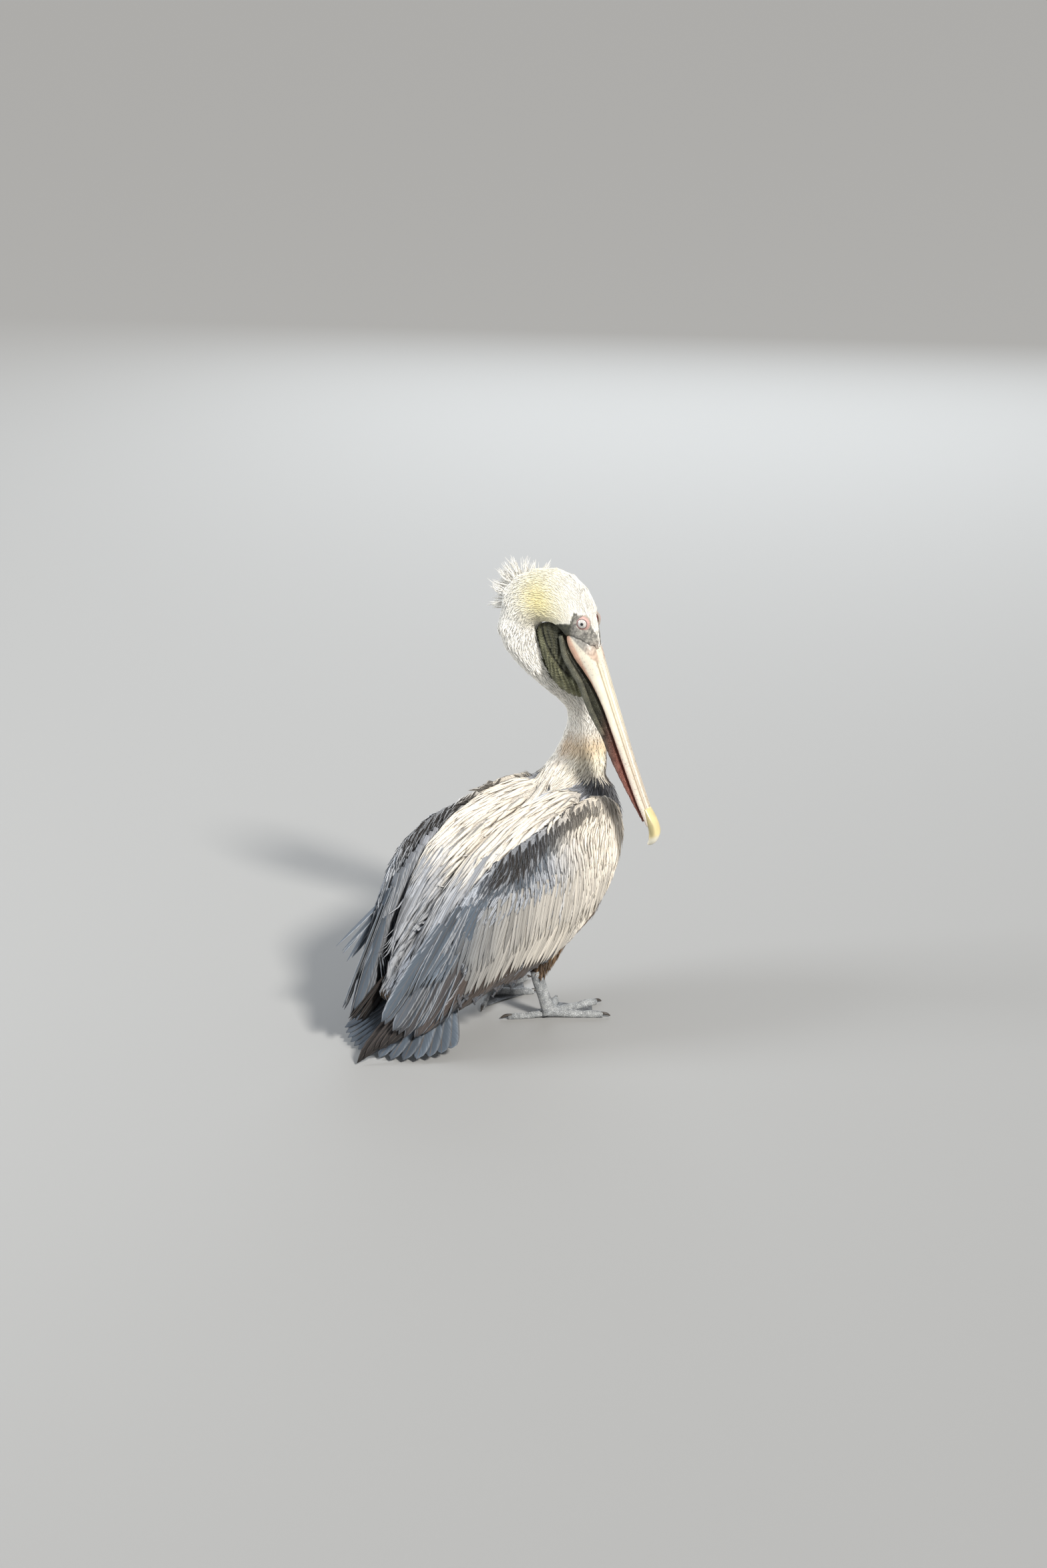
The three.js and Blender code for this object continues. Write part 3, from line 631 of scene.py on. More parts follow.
@dataclass(frozen=True)
class EyeFinish:
    """A wet eye: small pupil, pale iris and a dark rim, by distance from its axis in millimetres."""

    name: str = "wet_eye"
    pupil: float = 2.0
    iris: float = 6.7

    def build(self) -> Material:
        """Makes the material."""
        material, nodes, shader = new_material(self.name)
        radius = nodes.number("from_axis")
        turn = nodes.times(nodes.number("around"), 9.0)
        lay = nodes.add("ShaderNodeCombineXYZ", x=turn, y=nodes.times(radius, 0.35), z=0.0).outputs[0]
        flat = {"noise_dimensions": "2D"}
        streak = nodes.add("ShaderNodeTexNoise", flat, vector=lay, scale=1.0, detail=3.0)
        iris = nodes.mix(nodes.range(streak.outputs[0], 0.35, 0.65), (0.50, 0.48, 0.45), (0.74, 0.72, 0.67))
        centre = nodes.range(radius, self.pupil + 0.3, self.pupil + 1.6, 0.75, 0.0)
        inner = nodes.mix(centre, iris, (0.25, 0.24, 0.25))
        belt = nodes.times(nodes.range(radius, 4.0, 4.6), nodes.range(radius, 4.9, 5.6, 1.0, 0.0))
        belted = nodes.mix(nodes.times(belt, 0.65), inner, (0.42, 0.40, 0.40))
        beyond = nodes.range(radius, self.pupil - 0.15, self.pupil + 0.2)
        dark = nodes.mix(beyond, (0.004, 0.004, 0.005), belted)
        rim = nodes.mix(nodes.range(radius, self.iris - 0.5, self.iris), dark, (0.16, 0.045, 0.04))
        nodes.fill(shader, base_color=rim, roughness=0.2, coat_weight=1.0, coat_roughness=0.03)
        return material


# -------------------- markings and flow


def srgb(code: str) -> Array:
    """A linear colour from its six-digit display code."""
    parts = np.array([int(code[k : k + 2], 16) for k in (0, 2, 4)]) / 255
    return np.where(parts <= 0.04045, parts / 12.92, ((parts + 0.055) / 1.055) ** 2.4)


def blend_to(colours: Array, *layers: tuple[Array, Array]) -> Array:
    """Colours moved towards one target after another by a share at each point."""
    for target, share in layers:
        share = np.clip(share, 0, 1)[:, None]
        colours = colours * (1 - share) + target * share
    return colours


@dataclass
class Sites:
    """Places on the skin with what the markings and tracts need to know about them."""

    points: Array
    normals: Array
    labels: Array

    def __post_init__(self) -> None:
        """Works out the places in the body's and the head's frames."""
        self.body = BODY.local(self.points)
        self.head = HEAD.local(self.points)
        self.forward, self.left, self.up = self.body.T

    def on(self, *words: str) -> Array:
        """Whether each place lies on a node whose name starts with one of the words."""
        return np.array([any(label.startswith(word) for word in words) for label in self.labels])


@dataclass(frozen=True)
class WingLines:
    """Named lines of the folded wing seen from the side, as forward and up in millimetres."""

    ridge: tuple = (
        (-284, 60), (-258, 94), (-230, 138), (-203, 191), (-176, 231), (-142, 264), (-104, 285),
        (-56, 298), (-6, 311), (44, 321), (88, 320), (112, 311), (122, 280),
    )

    def below_ridge(self, forward: Array, up: Array) -> Array:
        """How far below the ridge each place lies, in millimetres."""
        line = np.array(self.ridge, float)
        return np.interp(forward, line[:, 0], line[:, 1]) - up


WING_LINES = WingLines()


class Markings:
    """The bird's colours at any place, as the core and the edge of a feather that grows there."""

    white = srgb("FBF8F0")
    wash = srgb("EFE19C")
    stain = srgb("B08E62")
    cream = srgb("F8EFE0")
    buff = srgb("D8B27E")
    silver = srgb("D2D6DD")
    ash = srgb("8B8D93")
    slate = srgb("58636F")
    umber = srgb("4A3D35")
    sable = srgb("1B1716")
    tawny = srgb("A98459")

    def colours(self, sites: Sites) -> tuple[Array, Array]:
        """Core and edge colours.

        Args:
            sites: the places to colour.

        Returns:
            Two arrays of linear colours.
        """
        core = np.tile(self.umber, (len(sites.points), 1))
        edge = np.tile(self.silver, (len(sites.points), 1))
        for chosen, paint in (
            (sites.on("head", "crest"), self.head),
            (sites.on("neck"), self.neck),
            (sites.on("trunk"), self.trunk),
            (sites.on("scapulars"), self.back),
            (sites.on("wing"), self.wing),
            (sites.on("thigh"), self.thigh),
        ):
            if chosen.any():
                part = Sites(sites.points[chosen], sites.normals[chosen], sites.labels[chosen])
                core[chosen], edge[chosen] = paint(part)
        return core, edge

    def head(self, sites: Sites) -> tuple[Array, Array]:
        """White, with a straw wash over the rear crown and cheek."""
        along, _, crown = sites.head.T
        edge = blend_to(self.white, (self.wash, 0.85 * bump_at(along, -50, 42) * bump_at(crown, -48, 30)))
        return edge * 0.9, edge

    def neck(self, sites: Sites) -> tuple[Array, Array]:
        """White, stained buff in the middle, streaked grey at its base and dark in front."""
        up = sites.up
        ahead, aside = -sites.normals[:, 1], -sites.normals[:, 0]
        edge = blend_to(
            self.white,
            (self.buff, 0.6 * (bump_at(up, 376, 17) * step_up(aside - 0.6 * ahead, -0.3, 0.5))),
            (self.wash, 0.25 * bump_at(up, 350, 30) * step_up(aside, 0.1, 0.8)),
            (self.cream, 0.8 * step_up(-up, -372, -320)),
        )
        front = step_up(ahead, 0.3, 0.62) * step_up(-up, -392, -356)
        core = blend_to(edge * 0.9, (self.ash, 0.5 * step_up(-up, -352, -316)), (self.sable, front))
        return core, blend_to(edge, (self.umber * 0.7, 0.9 * front))

    def trunk(self, sites: Sites) -> tuple[Array, Array]:
        """Dark breast with pale edges, brown belly, silvery rump."""
        forward, up = sites.forward, sites.up
        belly = step_up(-forward, -150, -60) * step_up(-up, -230, -150)
        back = step_up(up, 225, 285) * step_up(-forward, -110, -60)
        rump = step_up(-forward, 60, 120) * step_up(up, 80, 120)
        core = blend_to(self.sable, (self.umber, belly), (self.ash * 0.8, back), (self.slate, rump))
        pale = np.maximum(back, rump)
        return core, blend_to(self.ash * 0.8, (self.stain * 0.8, 0.8 * belly), (self.silver, pale))

    def back(self, sites: Sites) -> tuple[Array, Array]:
        """Long silvery-cream feathers with grey shafts, darker and bluer towards the rump: partly the rump's
        own grey and partly painted shade of a cast shadow over the rear back.
        """
        # Painted shade in part: towards the rear the cores turn slate and the edges a dimmed silver,
        # standing in for the cast shadow over the rear back.
        rear = step_up(-sites.forward, 50, 125)
        outer = 0.9 * step_up(np.abs(sites.left), 70, 76)
        core = blend_to(self.ash * 0.55, (self.slate * 0.6, rear), (self.sable, outer))
        return core, blend_to(self.cream, (self.silver * 0.55, 0.95 * rear))

    def wing(self, sites: Sites) -> tuple[Array, Array]:
        """Cream and dark combed ridge, cream front, silver-grey sides and a browner rear, with the grey
        towards the rear dimmed partly as painted shade of a cast shadow.
        """
        forward, up = sites.forward, sites.up
        below = WING_LINES.below_ridge(forward, up)
        # Towards the rear the colours turn to dimmed slate and silver: partly the wing's own grey, partly
        # painted shade of a cast shadow over the wing's rear.
        rear = step_up(-forward, -50, 60)
        fan = bump_at(forward, -95, 42)
        comb = step_up(-below, -23 - 17 * fan, -15 - 12 * fan) * step_up(forward, -165, -130)
        comb *= step_up(-forward, -119, -106) * (1 - 0.45 * step_up(forward, 50, 90))
        rim = 0.9 * step_up(-up, -124, -104) * step_up(-forward, -30, 10)
        core = blend_to(
            self.cream * 0.86,
            (self.slate * 0.85, rear),
            (self.sable * (1.25 - 0.3 * fan)[:, None], comb * (0.88 + 0.12 * fan)),
            (self.umber, 0.6 * (step_up(below, 120, 200) * rear)),
            (self.umber, rim),
        )
        greyed = (self.slate * 0.8, 0.45 * comb * fan)
        return core, blend_to(self.cream, (self.silver * 0.85, rear), greyed, (self.slate * 0.6, rim))

    def thigh(self, sites: Sites) -> tuple[Array, Array]:
        """Tawny brown, paler at the edges."""
        count = len(sites.points)
        return np.tile(self.umber, (count, 1)), np.tile(self.tawny * 0.7, (count, 1))


MARKINGS = Markings()


class Flow:
    """The way feathers lie, blended between known places on the body and the head.

    A row of lays is a place and the direction there, in the head's frame for the cheek and the
    body's frame for the rest. Cheek and side rows hold for the left and are mirrored.
    """

    power: float = 4.0
    crown_line: tuple = (
        (46, 4), (38, 5), (18, 9.5), (-4, 13), (-28, 17), (-55, 8), (-79, -11), (-92, -42),
        (-95, -76), (-86, -106), (-66, -122),
    )
    cheek_lays: tuple = (
        (24, 24, -6, -0.9, 0, 0.35), (-16, 27, -14, -0.95, 0, -0.2), (-30, 28, -40, -0.6, 0, -0.8),
        (-50, 29, -62, -0.35, 0, -0.93), (-22, 28, -66, 0.15, 0, -1), (-36, 30, -96, 0.55, 0, -0.85),
    )
    neck_line: tuple = (
        (16, 46, 580), (34, 33, 552), (46, 19, 522), (70, 0, 488), (106, -9, 454), (126, -8, 424),
        (133, -3, 388), (124, 0, 344), (100, 0, 298),
    )
    middle_lays: tuple = (
        (100, 0, 335, -0.8, 0, -0.6), (172, 0, 300, 0.1, 0, -1), (176, 0, 240, -0.1, 0, -1),
        (150, 0, 160, -0.5, 0, -0.85), (70, 0, 92, -0.93, 0, -0.35), (-40, 0, 74, -1, 0, 0),
        (-170, 0, 68, -1, 0, 0.1), (0, 0, 290, -0.95, 0, -0.3), (-100, 0, 235, -0.85, 0, -0.55),
        (-200, 0, 145, -0.75, 0, -0.65),
    )
    side_lays: tuple = (
        (130, 62, 250, -0.25, 0.25, -0.95), (110, 66, 160, -0.6, 0, -0.8),
        (60, 30, 323, -0.99, 0.04, -0.05), (30, 45, 320, -0.98, 0.04, -0.15),
        (70, 66, 312, -0.98, -0.1, -0.1), (30, 68, 314, -0.98, -0.04, -0.15),
        (-10, 68, 306, -0.96, 0, -0.25), (-50, 66, 294, -0.93, 0, -0.35), (-90, 64, 272, -0.88, 0, -0.47),
        (-60, 43, 290, -0.93, 0.02, -0.35), (-120, 38, 255, -0.83, 0, -0.56),
        (-130, 58, 246, -0.8, 0, -0.6), (-190, 28, 180, -0.75, 0, -0.65), (98, 82, 318, -0.3, 0.9, -0.3),
        (60, 84, 317, -0.45, 0.85, -0.2), (20, 86, 312, -0.45, 0.85, -0.2),
        (-20, 88, 303, -0.45, 0.85, -0.2), (-60, 90, 292, -0.5, 0.8, -0.3),
        (-100, 90, 281, -0.6, 0.7, -0.4), (-135, 88, 262, -0.8, 0.3, -0.5), (108, 98, 280, -0.1, 0, -1),
        (95, 100, 200, -0.3, 0, -0.95), (60, 100, 150, -0.5, 0, -0.85), (20, 108, 260, -0.12, 0, -1),
        (0, 105, 150, -0.3, 0, -0.95), (-50, 110, 250, -0.17, 0, -1), (-40, 105, 120, -0.4, 0, -0.93),
        (-90, 110, 250, -0.28, 0, -0.96), (-95, 104, 130, -0.42, 0, -0.9),
        (-135, 100, 255, -0.75, 0, -0.68), (-150, 98, 150, -0.55, 0, -0.83),
        (-200, 84, 190, -0.75, 0, -0.67), (-200, 84, 100, -0.7, 0, -0.7),
        (-250, 52, 90, -0.8, -0.1, -0.6), (-5, 62, 110, -0.3, 0, -0.95), (-18, 62, 70, -0.15, 0, -1),
    )

    def __init__(self) -> None:
        """Gathers the known places and directions."""
        places, ways = [], []
        crown = HEAD.at([(x, 0, z) for x, z in self.crown_line])
        neck = BODY.at(self.neck_line)
        for line in (crown, neck):
            places += list((line[1:] + line[:-1]) / 2)
            ways += list(unit(line[1:] - line[:-1]))
        for frame, rows, hand in (
            (HEAD, self.cheek_lays, 1), (BODY, self.side_lays, 1), (HEAD, self.cheek_lays, -1),
            (BODY, self.side_lays, -1), (BODY, self.middle_lays, 1),
        ):
            for row in np.array(rows) * (1, hand, 1, 1, hand, 1):
                places.append(frame.at(row[:3]))
                ways.append(frame.towards(row[3:]))
        self.places = np.array(places)
        self.ways = np.array(ways)

    def at(self, points: Array, normals: Array) -> Array:
        """The lie of the coat at each point, along the surface."""
        chunks = []
        for part, outward in zip(np.array_split(points, 40), np.array_split(normals, 40)):
            gap = np.linalg.norm(part[:, None] - self.places[None], axis=-1)
            weight = 1 / (gap + 0.004) ** self.power
            way = unit((weight[..., None] * self.ways[None]).sum(1))
            chunks.append(unit(way - (way * outward).sum(-1, keepdims=True) * outward))
        return np.concatenate(chunks)


# -------------------- skin


@dataclass
class PlumageSkin:
    """One skin under all the feathers, fused from the solids and drawn in by the coat's depth."""

    nodes: dict
    voxel: float = 2.95 * MM
    rounds: int = 5
    coat_depth: float = 1.8 * MM
    fused: tuple[str, ...] = (
        "head", "neck_upper", "neck_middle", "neck_lower", "trunk", "scapulars_left", "scapulars_right",
        "wing_left_coverts", "wing_right_coverts", "wing_left_secondaries", "wing_right_secondaries",
        "thigh_left", "thigh_right",
    )
    bare_outline: tuple = (
        (-19, -90), (-11, -74), (-12, -60), (-12, -47), (-8, -32), (-14, -25), (-21, -18), (-14, -7),
        (-8, 1), (6, 3), (20, 7), (32, 4.5), (38, 3), (90, 4),
        (97, -50), (89, -74), (72, -92), (48, -98), (14, -96),
    )
    slant: float = 0.698
    head_share: float = 0.35

    def build(self, flow: Flow, finish: Material) -> Piece:
        """Makes the skin.

        Args:
            flow: the lie of the coat.
            finish: the skin's material.

        Returns:
            The skin, with the attributes that the coats read.
        """
        points, faces, labels = [], [], []
        for name in self.fused:
            mesh = self.nodes[name].data
            base = sum(len(p) for p in points)
            points.append(points_of(mesh))
            faces += [[base + v for v in polygon.vertices] for polygon in mesh.polygons]
            labels += [name] * len(mesh.polygons)
        whole = np.concatenate(points)
        lookup = BVHTree.FromPolygons(whole.tolist(), faces)
        skin = new_object("skin", whole, faces)
        skin.modifiers.new("weld", "WELD").merge_threshold = 0.02 * MM
        remesh = skin.modifiers.new("fuse", "REMESH")
        remesh.mode = "VOXEL"
        remesh.voxel_size = self.voxel
        ease = skin.modifiers.new("ease", "SMOOTH")
        ease.factor = 0.5
        ease.iterations = self.rounds
        applied(skin)
        mesh = skin.data
        mesh.polygons.foreach_set("use_smooth", np.ones(len(mesh.polygons), bool))
        outward, place = normals_of(mesh), points_of(mesh)
        self.labels = np.array([labels[lookup.find_nearest(Vector(p))[2]] for p in place])
        bare = self.bareness(place)
        thin = np.char.startswith(self.labels, "head") | np.char.startswith(self.labels, "neck_upper")
        light = np.where(thin, self.head_share, 1.0)
        place += outward * (self.face_swell(place) - self.coat_depth * light * (1 - 0.85 * bare))[:, None]
        move_points(mesh, place)
        mesh.materials.clear()
        mesh.materials.append(finish)
        self.note_all(skin, flow, bare)
        self.unwrap(skin)
        return skin

    @staticmethod
    def face_swell(points: Array) -> Array:
        """How far the flesh around each eye stands out, in metres."""
        along, left, crown = HEAD.local(points).T
        away = np.hypot(along + 2, crown - 2)
        return 3.6 * MM * np.exp(-((away / 13) ** 2)) * step_up(np.abs(left), 9, 17)

    def bareness(self, points: Array) -> Array:
        """1 on the bare face and gape, 0 under feathers."""
        along, left, crown = HEAD.local(points).T
        near = (along > -40) & (along < 100) & (crown > -130) & (crown < 30) & (np.abs(left) < 40)
        seen = np.stack([along - 0.05 * np.abs(left), crown - self.slant * np.abs(left)], -1)
        return (near & inside(seen, self.bare_outline)).astype(float)

    def note_all(self, skin: Piece, flow: Flow, bare: Array) -> None:
        """Keeps the markings, the flow and the bare face on the skin."""
        mesh = skin.data
        sites = Sites(points_of(mesh), normals_of(mesh), self.labels)
        along, _, crown = sites.head.T
        colours = (*self.face_colours(along, crown), *MARKINGS.colours(sites))
        for name, values in zip(("face_pale", "face_dark", "core_colour", "edge_colour"), colours):
            note_colour(mesh, name, values)
        note(mesh, "bare", bare)
        note(mesh, "flow", flow.at(sites.points, sites.normals))
        self.bare = bare

    @staticmethod
    def face_colours(along: Array, crown: Array) -> tuple[Array, Array]:
        """Grey lores, blacker at the gape and warmer towards the bill."""
        tip = step_up(along, 24, 50) * step_up(crown, -16, -2)
        gape = step_up(-crown - 0.75 * along, 8, 20)
        pale = blend_to(srgb("CBC7BD"), (srgb("E6C9B2"), 0.85 * tip), (srgb("63634D"), gape))
        return pale, blend_to(srgb("6B6965"), (srgb("9C7F6E"), 0.8 * tip), (srgb("2B2B22"), gape))

    @staticmethod
    def unwrap(skin: Piece) -> None:
        """Lays the skin out flat in the map that the coats share."""
        skin.data.uv_layers.new(name="OFBake")
        bpy.context.view_layer.objects.active = skin
        skin.select_set(True)
        bpy.ops.object.mode_set(mode="EDIT")
        bpy.ops.mesh.select_all(action="SELECT")
        bpy.ops.uv.smart_project(angle_limit=math.radians(66), island_margin=0.003)
        bpy.ops.object.mode_set(mode="OBJECT")
        skin.select_set(False)


class SkinSurface:
    """The skin as a surface that feathers are rooted in and laid on."""

    def __init__(self, skin: Piece, labels: Array, bare: Array) -> None:
        """Reads the skin's triangles once."""
        mesh = skin.data
        mesh.calc_loop_triangles()
        flat = rows_of(mesh.uv_layers["OFBake"].data, "uv", 2)
        self.flat = flat[rows_of(mesh.loop_triangles, "loops", 3, np.int32)]
        self.triangles = rows_of(mesh.loop_triangles, "vertices", 3, np.int32)
        self.points, self.normals = points_of(mesh), normals_of(mesh)
        self.labels, self.bare = labels, bare
        self.tree = BVHTree.FromPolygons(self.points.tolist(), self.triangles.tolist())
        a, b, c = self.points[self.triangles].transpose(1, 0, 2)
        self.areas = np.linalg.norm(np.cross(b - a, c - a), axis=1) / 2

    def roots(self, spacing: float, rng: np.random.Generator, wanted: Callable) -> tuple:
        """Evenly scattered roots where the wanted share allows.

        Args:
            spacing: the least distance between two roots, in metres.
            rng: the source of chance.
            wanted: gives each place's share from 0 to 1.

        Returns:
            The sites and their places on the flat map.
        """
        tries = int(self.areas.sum() / spacing**2 * 3)
        faces = rng.choice(len(self.areas), tries, p=self.areas / self.areas.sum())
        a, b = rng.random((2, tries))
        over = a + b > 1
        a[over], b[over] = 1 - a[over], 1 - b[over]
        weights = np.stack([1 - a - b, a, b], -1)[..., None]
        corner = self.triangles[faces]
        place = (self.points[corner] * weights).sum(1)
        outward = unit((self.normals[corner] * weights).sum(1))
        flat = (self.flat[faces] * weights).sum(1)
        sites = Sites(place, outward, self.labels[corner[:, 0]])
        share = wanted(sites) * (self.bare[corner].max(1) < 0.5)
        chosen = np.flatnonzero(share > rng.random(tries))
        kept, seen = [], {}
        for k in chosen:
            cell = tuple(np.floor(place[k] / spacing).astype(int))
            close = itertools.product(*((c - 1, c, c + 1) for c in cell))
            around = [seen[other] for other in close if other in seen]
            if all(np.dot(place[k] - place[o], place[k] - place[o]) > spacing**2 for o in around):
                seen[cell] = k
                kept.append(k)
        kept = np.array(kept, int)
        return Sites(place[kept], outward[kept], sites.labels[kept]), flat[kept]

    def flat_place(self, point: Array) -> Array:
        """Where the nearest place on the skin lies on the flat map."""
        face = self.tree.find_nearest(Vector(point))[2]
        return self.flat[face].mean(0)


# -------------------- vanes


SMALL_STEPS = (0.0, 0.3, 0.62, 0.86, 1.0)


class Blade(Enum):
    """The outline of a feather."""

    LANCE = "lance"
    ROUND = "round"
    POINTED = "pointed"

    def half_widths(self, steps: Array) -> Array:
        """Half width along the feather, as a share of its widest."""
        if self is Blade.LANCE:
            return np.clip((1 - steps) ** 0.62 * np.clip((steps + 0.1) / 0.42, 0, 1) ** 0.7, 0.03, 1) * 1.12
        if self is Blade.ROUND:
            end = np.sqrt(np.clip(1 - steps**6, 0, 1))
            return np.clip(end * np.clip((steps + 0.2) / 0.5, 0, 1) ** 0.6, 0.05, 1)
        end = np.clip(1 - steps**3, 0, 1) ** 0.8
        return np.clip(end * np.clip((steps + 0.25) / 0.6, 0, 1) ** 0.6, 0.04, 1)


@dataclass
class Vanes:
    """Feathers of one tract before they become a mesh.

    Paths and ups are the shafts and their outward directions, of shape (feathers, rings, 3), and
    halves are half widths, all in metres. Steps say where the rings stand, from 0 to 1. The rest is
    one row a feather: core and edge colour, a chance number, how plainly the shaft shows and the
    root's place on the flat map.
    """

    paths: Array
    ups: Array
    halves: Array
    steps: Array
    core: Array
    edge: Array
    tint: Array
    shaft: Array
    flat: Array

    def joined(self, other: Vanes) -> Vanes:
        """These feathers and others of the same kind together."""
        parts = {
            key: np.concatenate([getattr(self, key), getattr(other, key)])
            for key in ("paths", "ups", "halves", "core", "edge", "tint", "shaft", "flat")
        }
        return Vanes(steps=self.steps, **parts)


@dataclass
class VaneMesher:
    """Turns feathers into one joined mesh of thin closed blades.

    Columns are the points across the upper side. Camber is how far the edges droop, as a share of
    the half width, and thickness the shaft's height above and below them. An atlas gives each
    feather its own rectangle of the map, instead of a patch at its root's place.
    """

    columns: int = 3
    camber: float = 0.25
    thickness: float = 0.5 * MM
    shaft_colour: Row3 = (0.1, 0.085, 0.075)
    atlas: bool = False
    patch: float = 0.003

    def build(self, name: str, vanes: Vanes, finish: Material) -> Piece:
        """Makes the mesh.

        Args:
            name: the piece's name.
            vanes: the feathers.
            finish: their material.

        Returns:
            The piece, with the attributes that the finish reads and the map OFBake.
        """
        count, rings = vanes.paths.shape[:2]
        ring = self.columns + 1
        ahead = unit(np.gradient(vanes.paths, axis=1))
        side = unit(np.cross(ahead, vanes.ups))
        up = unit(np.cross(side, ahead))
        across = np.concatenate([np.linspace(-1, 1, self.columns), [0.0]])
        rise = np.concatenate([1 - across[:-1] ** 2, [-0.9]])
        droop = np.concatenate([across[:-1] ** 2, [0.0]])
        half = vanes.halves[..., None, None]
        slim = np.clip(vanes.halves / (3 * MM), 0.25, 1)[..., None, None]
        points = vanes.paths[:, :, None] + side[:, :, None] * across[:, None] * half
        points = points + up[:, :, None] * (rise[:, None] * self.thickness * slim)
        points = points - up[:, :, None] * (droop[:, None] * self.camber * half)
        base = (np.arange(count) * rings * ring)[:, None, None]
        r = np.arange(rings - 1)[None, :, None]
        k = np.arange(ring)[None, None, :]
        k_next = (k + 1) % ring
        low, high = base + r * ring, base + (r + 1) * ring
        quads = np.stack([low + k, low + k_next, high + k_next, high + k], -1).reshape(-1, 4)
        start = base[:, 0, 0][:, None] + np.arange(ring)[::-1][None]
        end = base[:, 0, 0][:, None] + (rings - 1) * ring + np.arange(ring)[None]
        mesh = self.mesh_from(name, points.reshape(-1, 3), quads, np.concatenate([start, end]))
        shape = (count, rings, ring)
        note(mesh, "along", np.broadcast_to(vanes.steps[None, :, None], shape).ravel())
        note(mesh, "across", np.broadcast_to(across[None, None], shape).ravel())
        for key, values in (("tint", vanes.tint), ("shaft", vanes.shaft)):
            note(mesh, key, np.broadcast_to(values[:, None, None], shape).ravel())
        for key, values in (("core_colour", vanes.core), ("edge_colour", vanes.edge)):
            note_colour(mesh, key, np.broadcast_to(values[:, None, None], (*shape, 3)).reshape(-1, 3))
        shaft = np.broadcast_to(np.array(self.shaft_colour), (count * rings * ring, 3))
        note_colour(mesh, "shaft_colour", shaft)
        self.map_out(mesh, vanes, shape, across)
        mesh.materials.append(finish)
        return linked(name, mesh)

    @staticmethod
    def mesh_from(name: str, points: Array, quads: Array, caps: Array) -> Mesh:
        """A mesh from quads and end caps without a slow list of faces."""
        mesh = bpy.data.meshes.new(name)
        mesh.vertices.add(len(points))
        mesh.vertices.foreach_set("co", points.astype(np.float32).ravel())
        corners = np.concatenate([quads.ravel(), caps.ravel()]).astype(np.int32)
        sizes = np.concatenate([np.full(len(quads), 4), np.full(len(caps), caps.shape[1])])
        mesh.loops.add(len(corners))
        mesh.loops.foreach_set("vertex_index", corners)
        mesh.polygons.add(len(sizes))
        starts = np.concatenate([[0], np.cumsum(sizes)[:-1]])
        mesh.polygons.foreach_set("loop_start", starts.astype(np.int32))
        mesh.polygons.foreach_set("use_smooth", np.ones(len(sizes), bool))
        mesh.update(calc_edges=True)
        mesh.validate()
        return mesh

    def map_out(self, mesh: Mesh, vanes: Vanes, shape: tuple, across: Array) -> None:
        """Writes the map OFBake."""
        count = shape[0]
        aside = np.concatenate([across[:-1], [1.18]]) / 2.4 + 0.45
        u = np.broadcast_to(aside[None, None], shape)
        v = np.broadcast_to(vanes.steps[None, :, None], shape)
        if self.atlas:
            wide = math.ceil(math.sqrt(count * 3.0))
            tall = math.ceil(count / wide)
            cell = np.arange(count)
            left, low = (cell % wide)[:, None, None], (cell // wide)[:, None, None]
            flat = np.stack([(left + 0.06 + 0.88 * u) / wide, (low + 0.04 + 0.92 * v) / tall], -1)
        else:
            corner = vanes.flat[:, None, None] - self.patch / 2
            flat = np.clip(corner + np.stack([u, v], -1) * self.patch, 0.0005, 0.9995)
        loops = rows_of(mesh.loops, "vertex_index", 1, np.int32)[:, 0]
        layer = mesh.uv_layers.new(name="OFBake")
        layer.data.foreach_set("uv", flat.reshape(-1, 2)[loops].astype(np.float32).ravel())


Share = Callable[[Sites], Array]
Size = float | Share


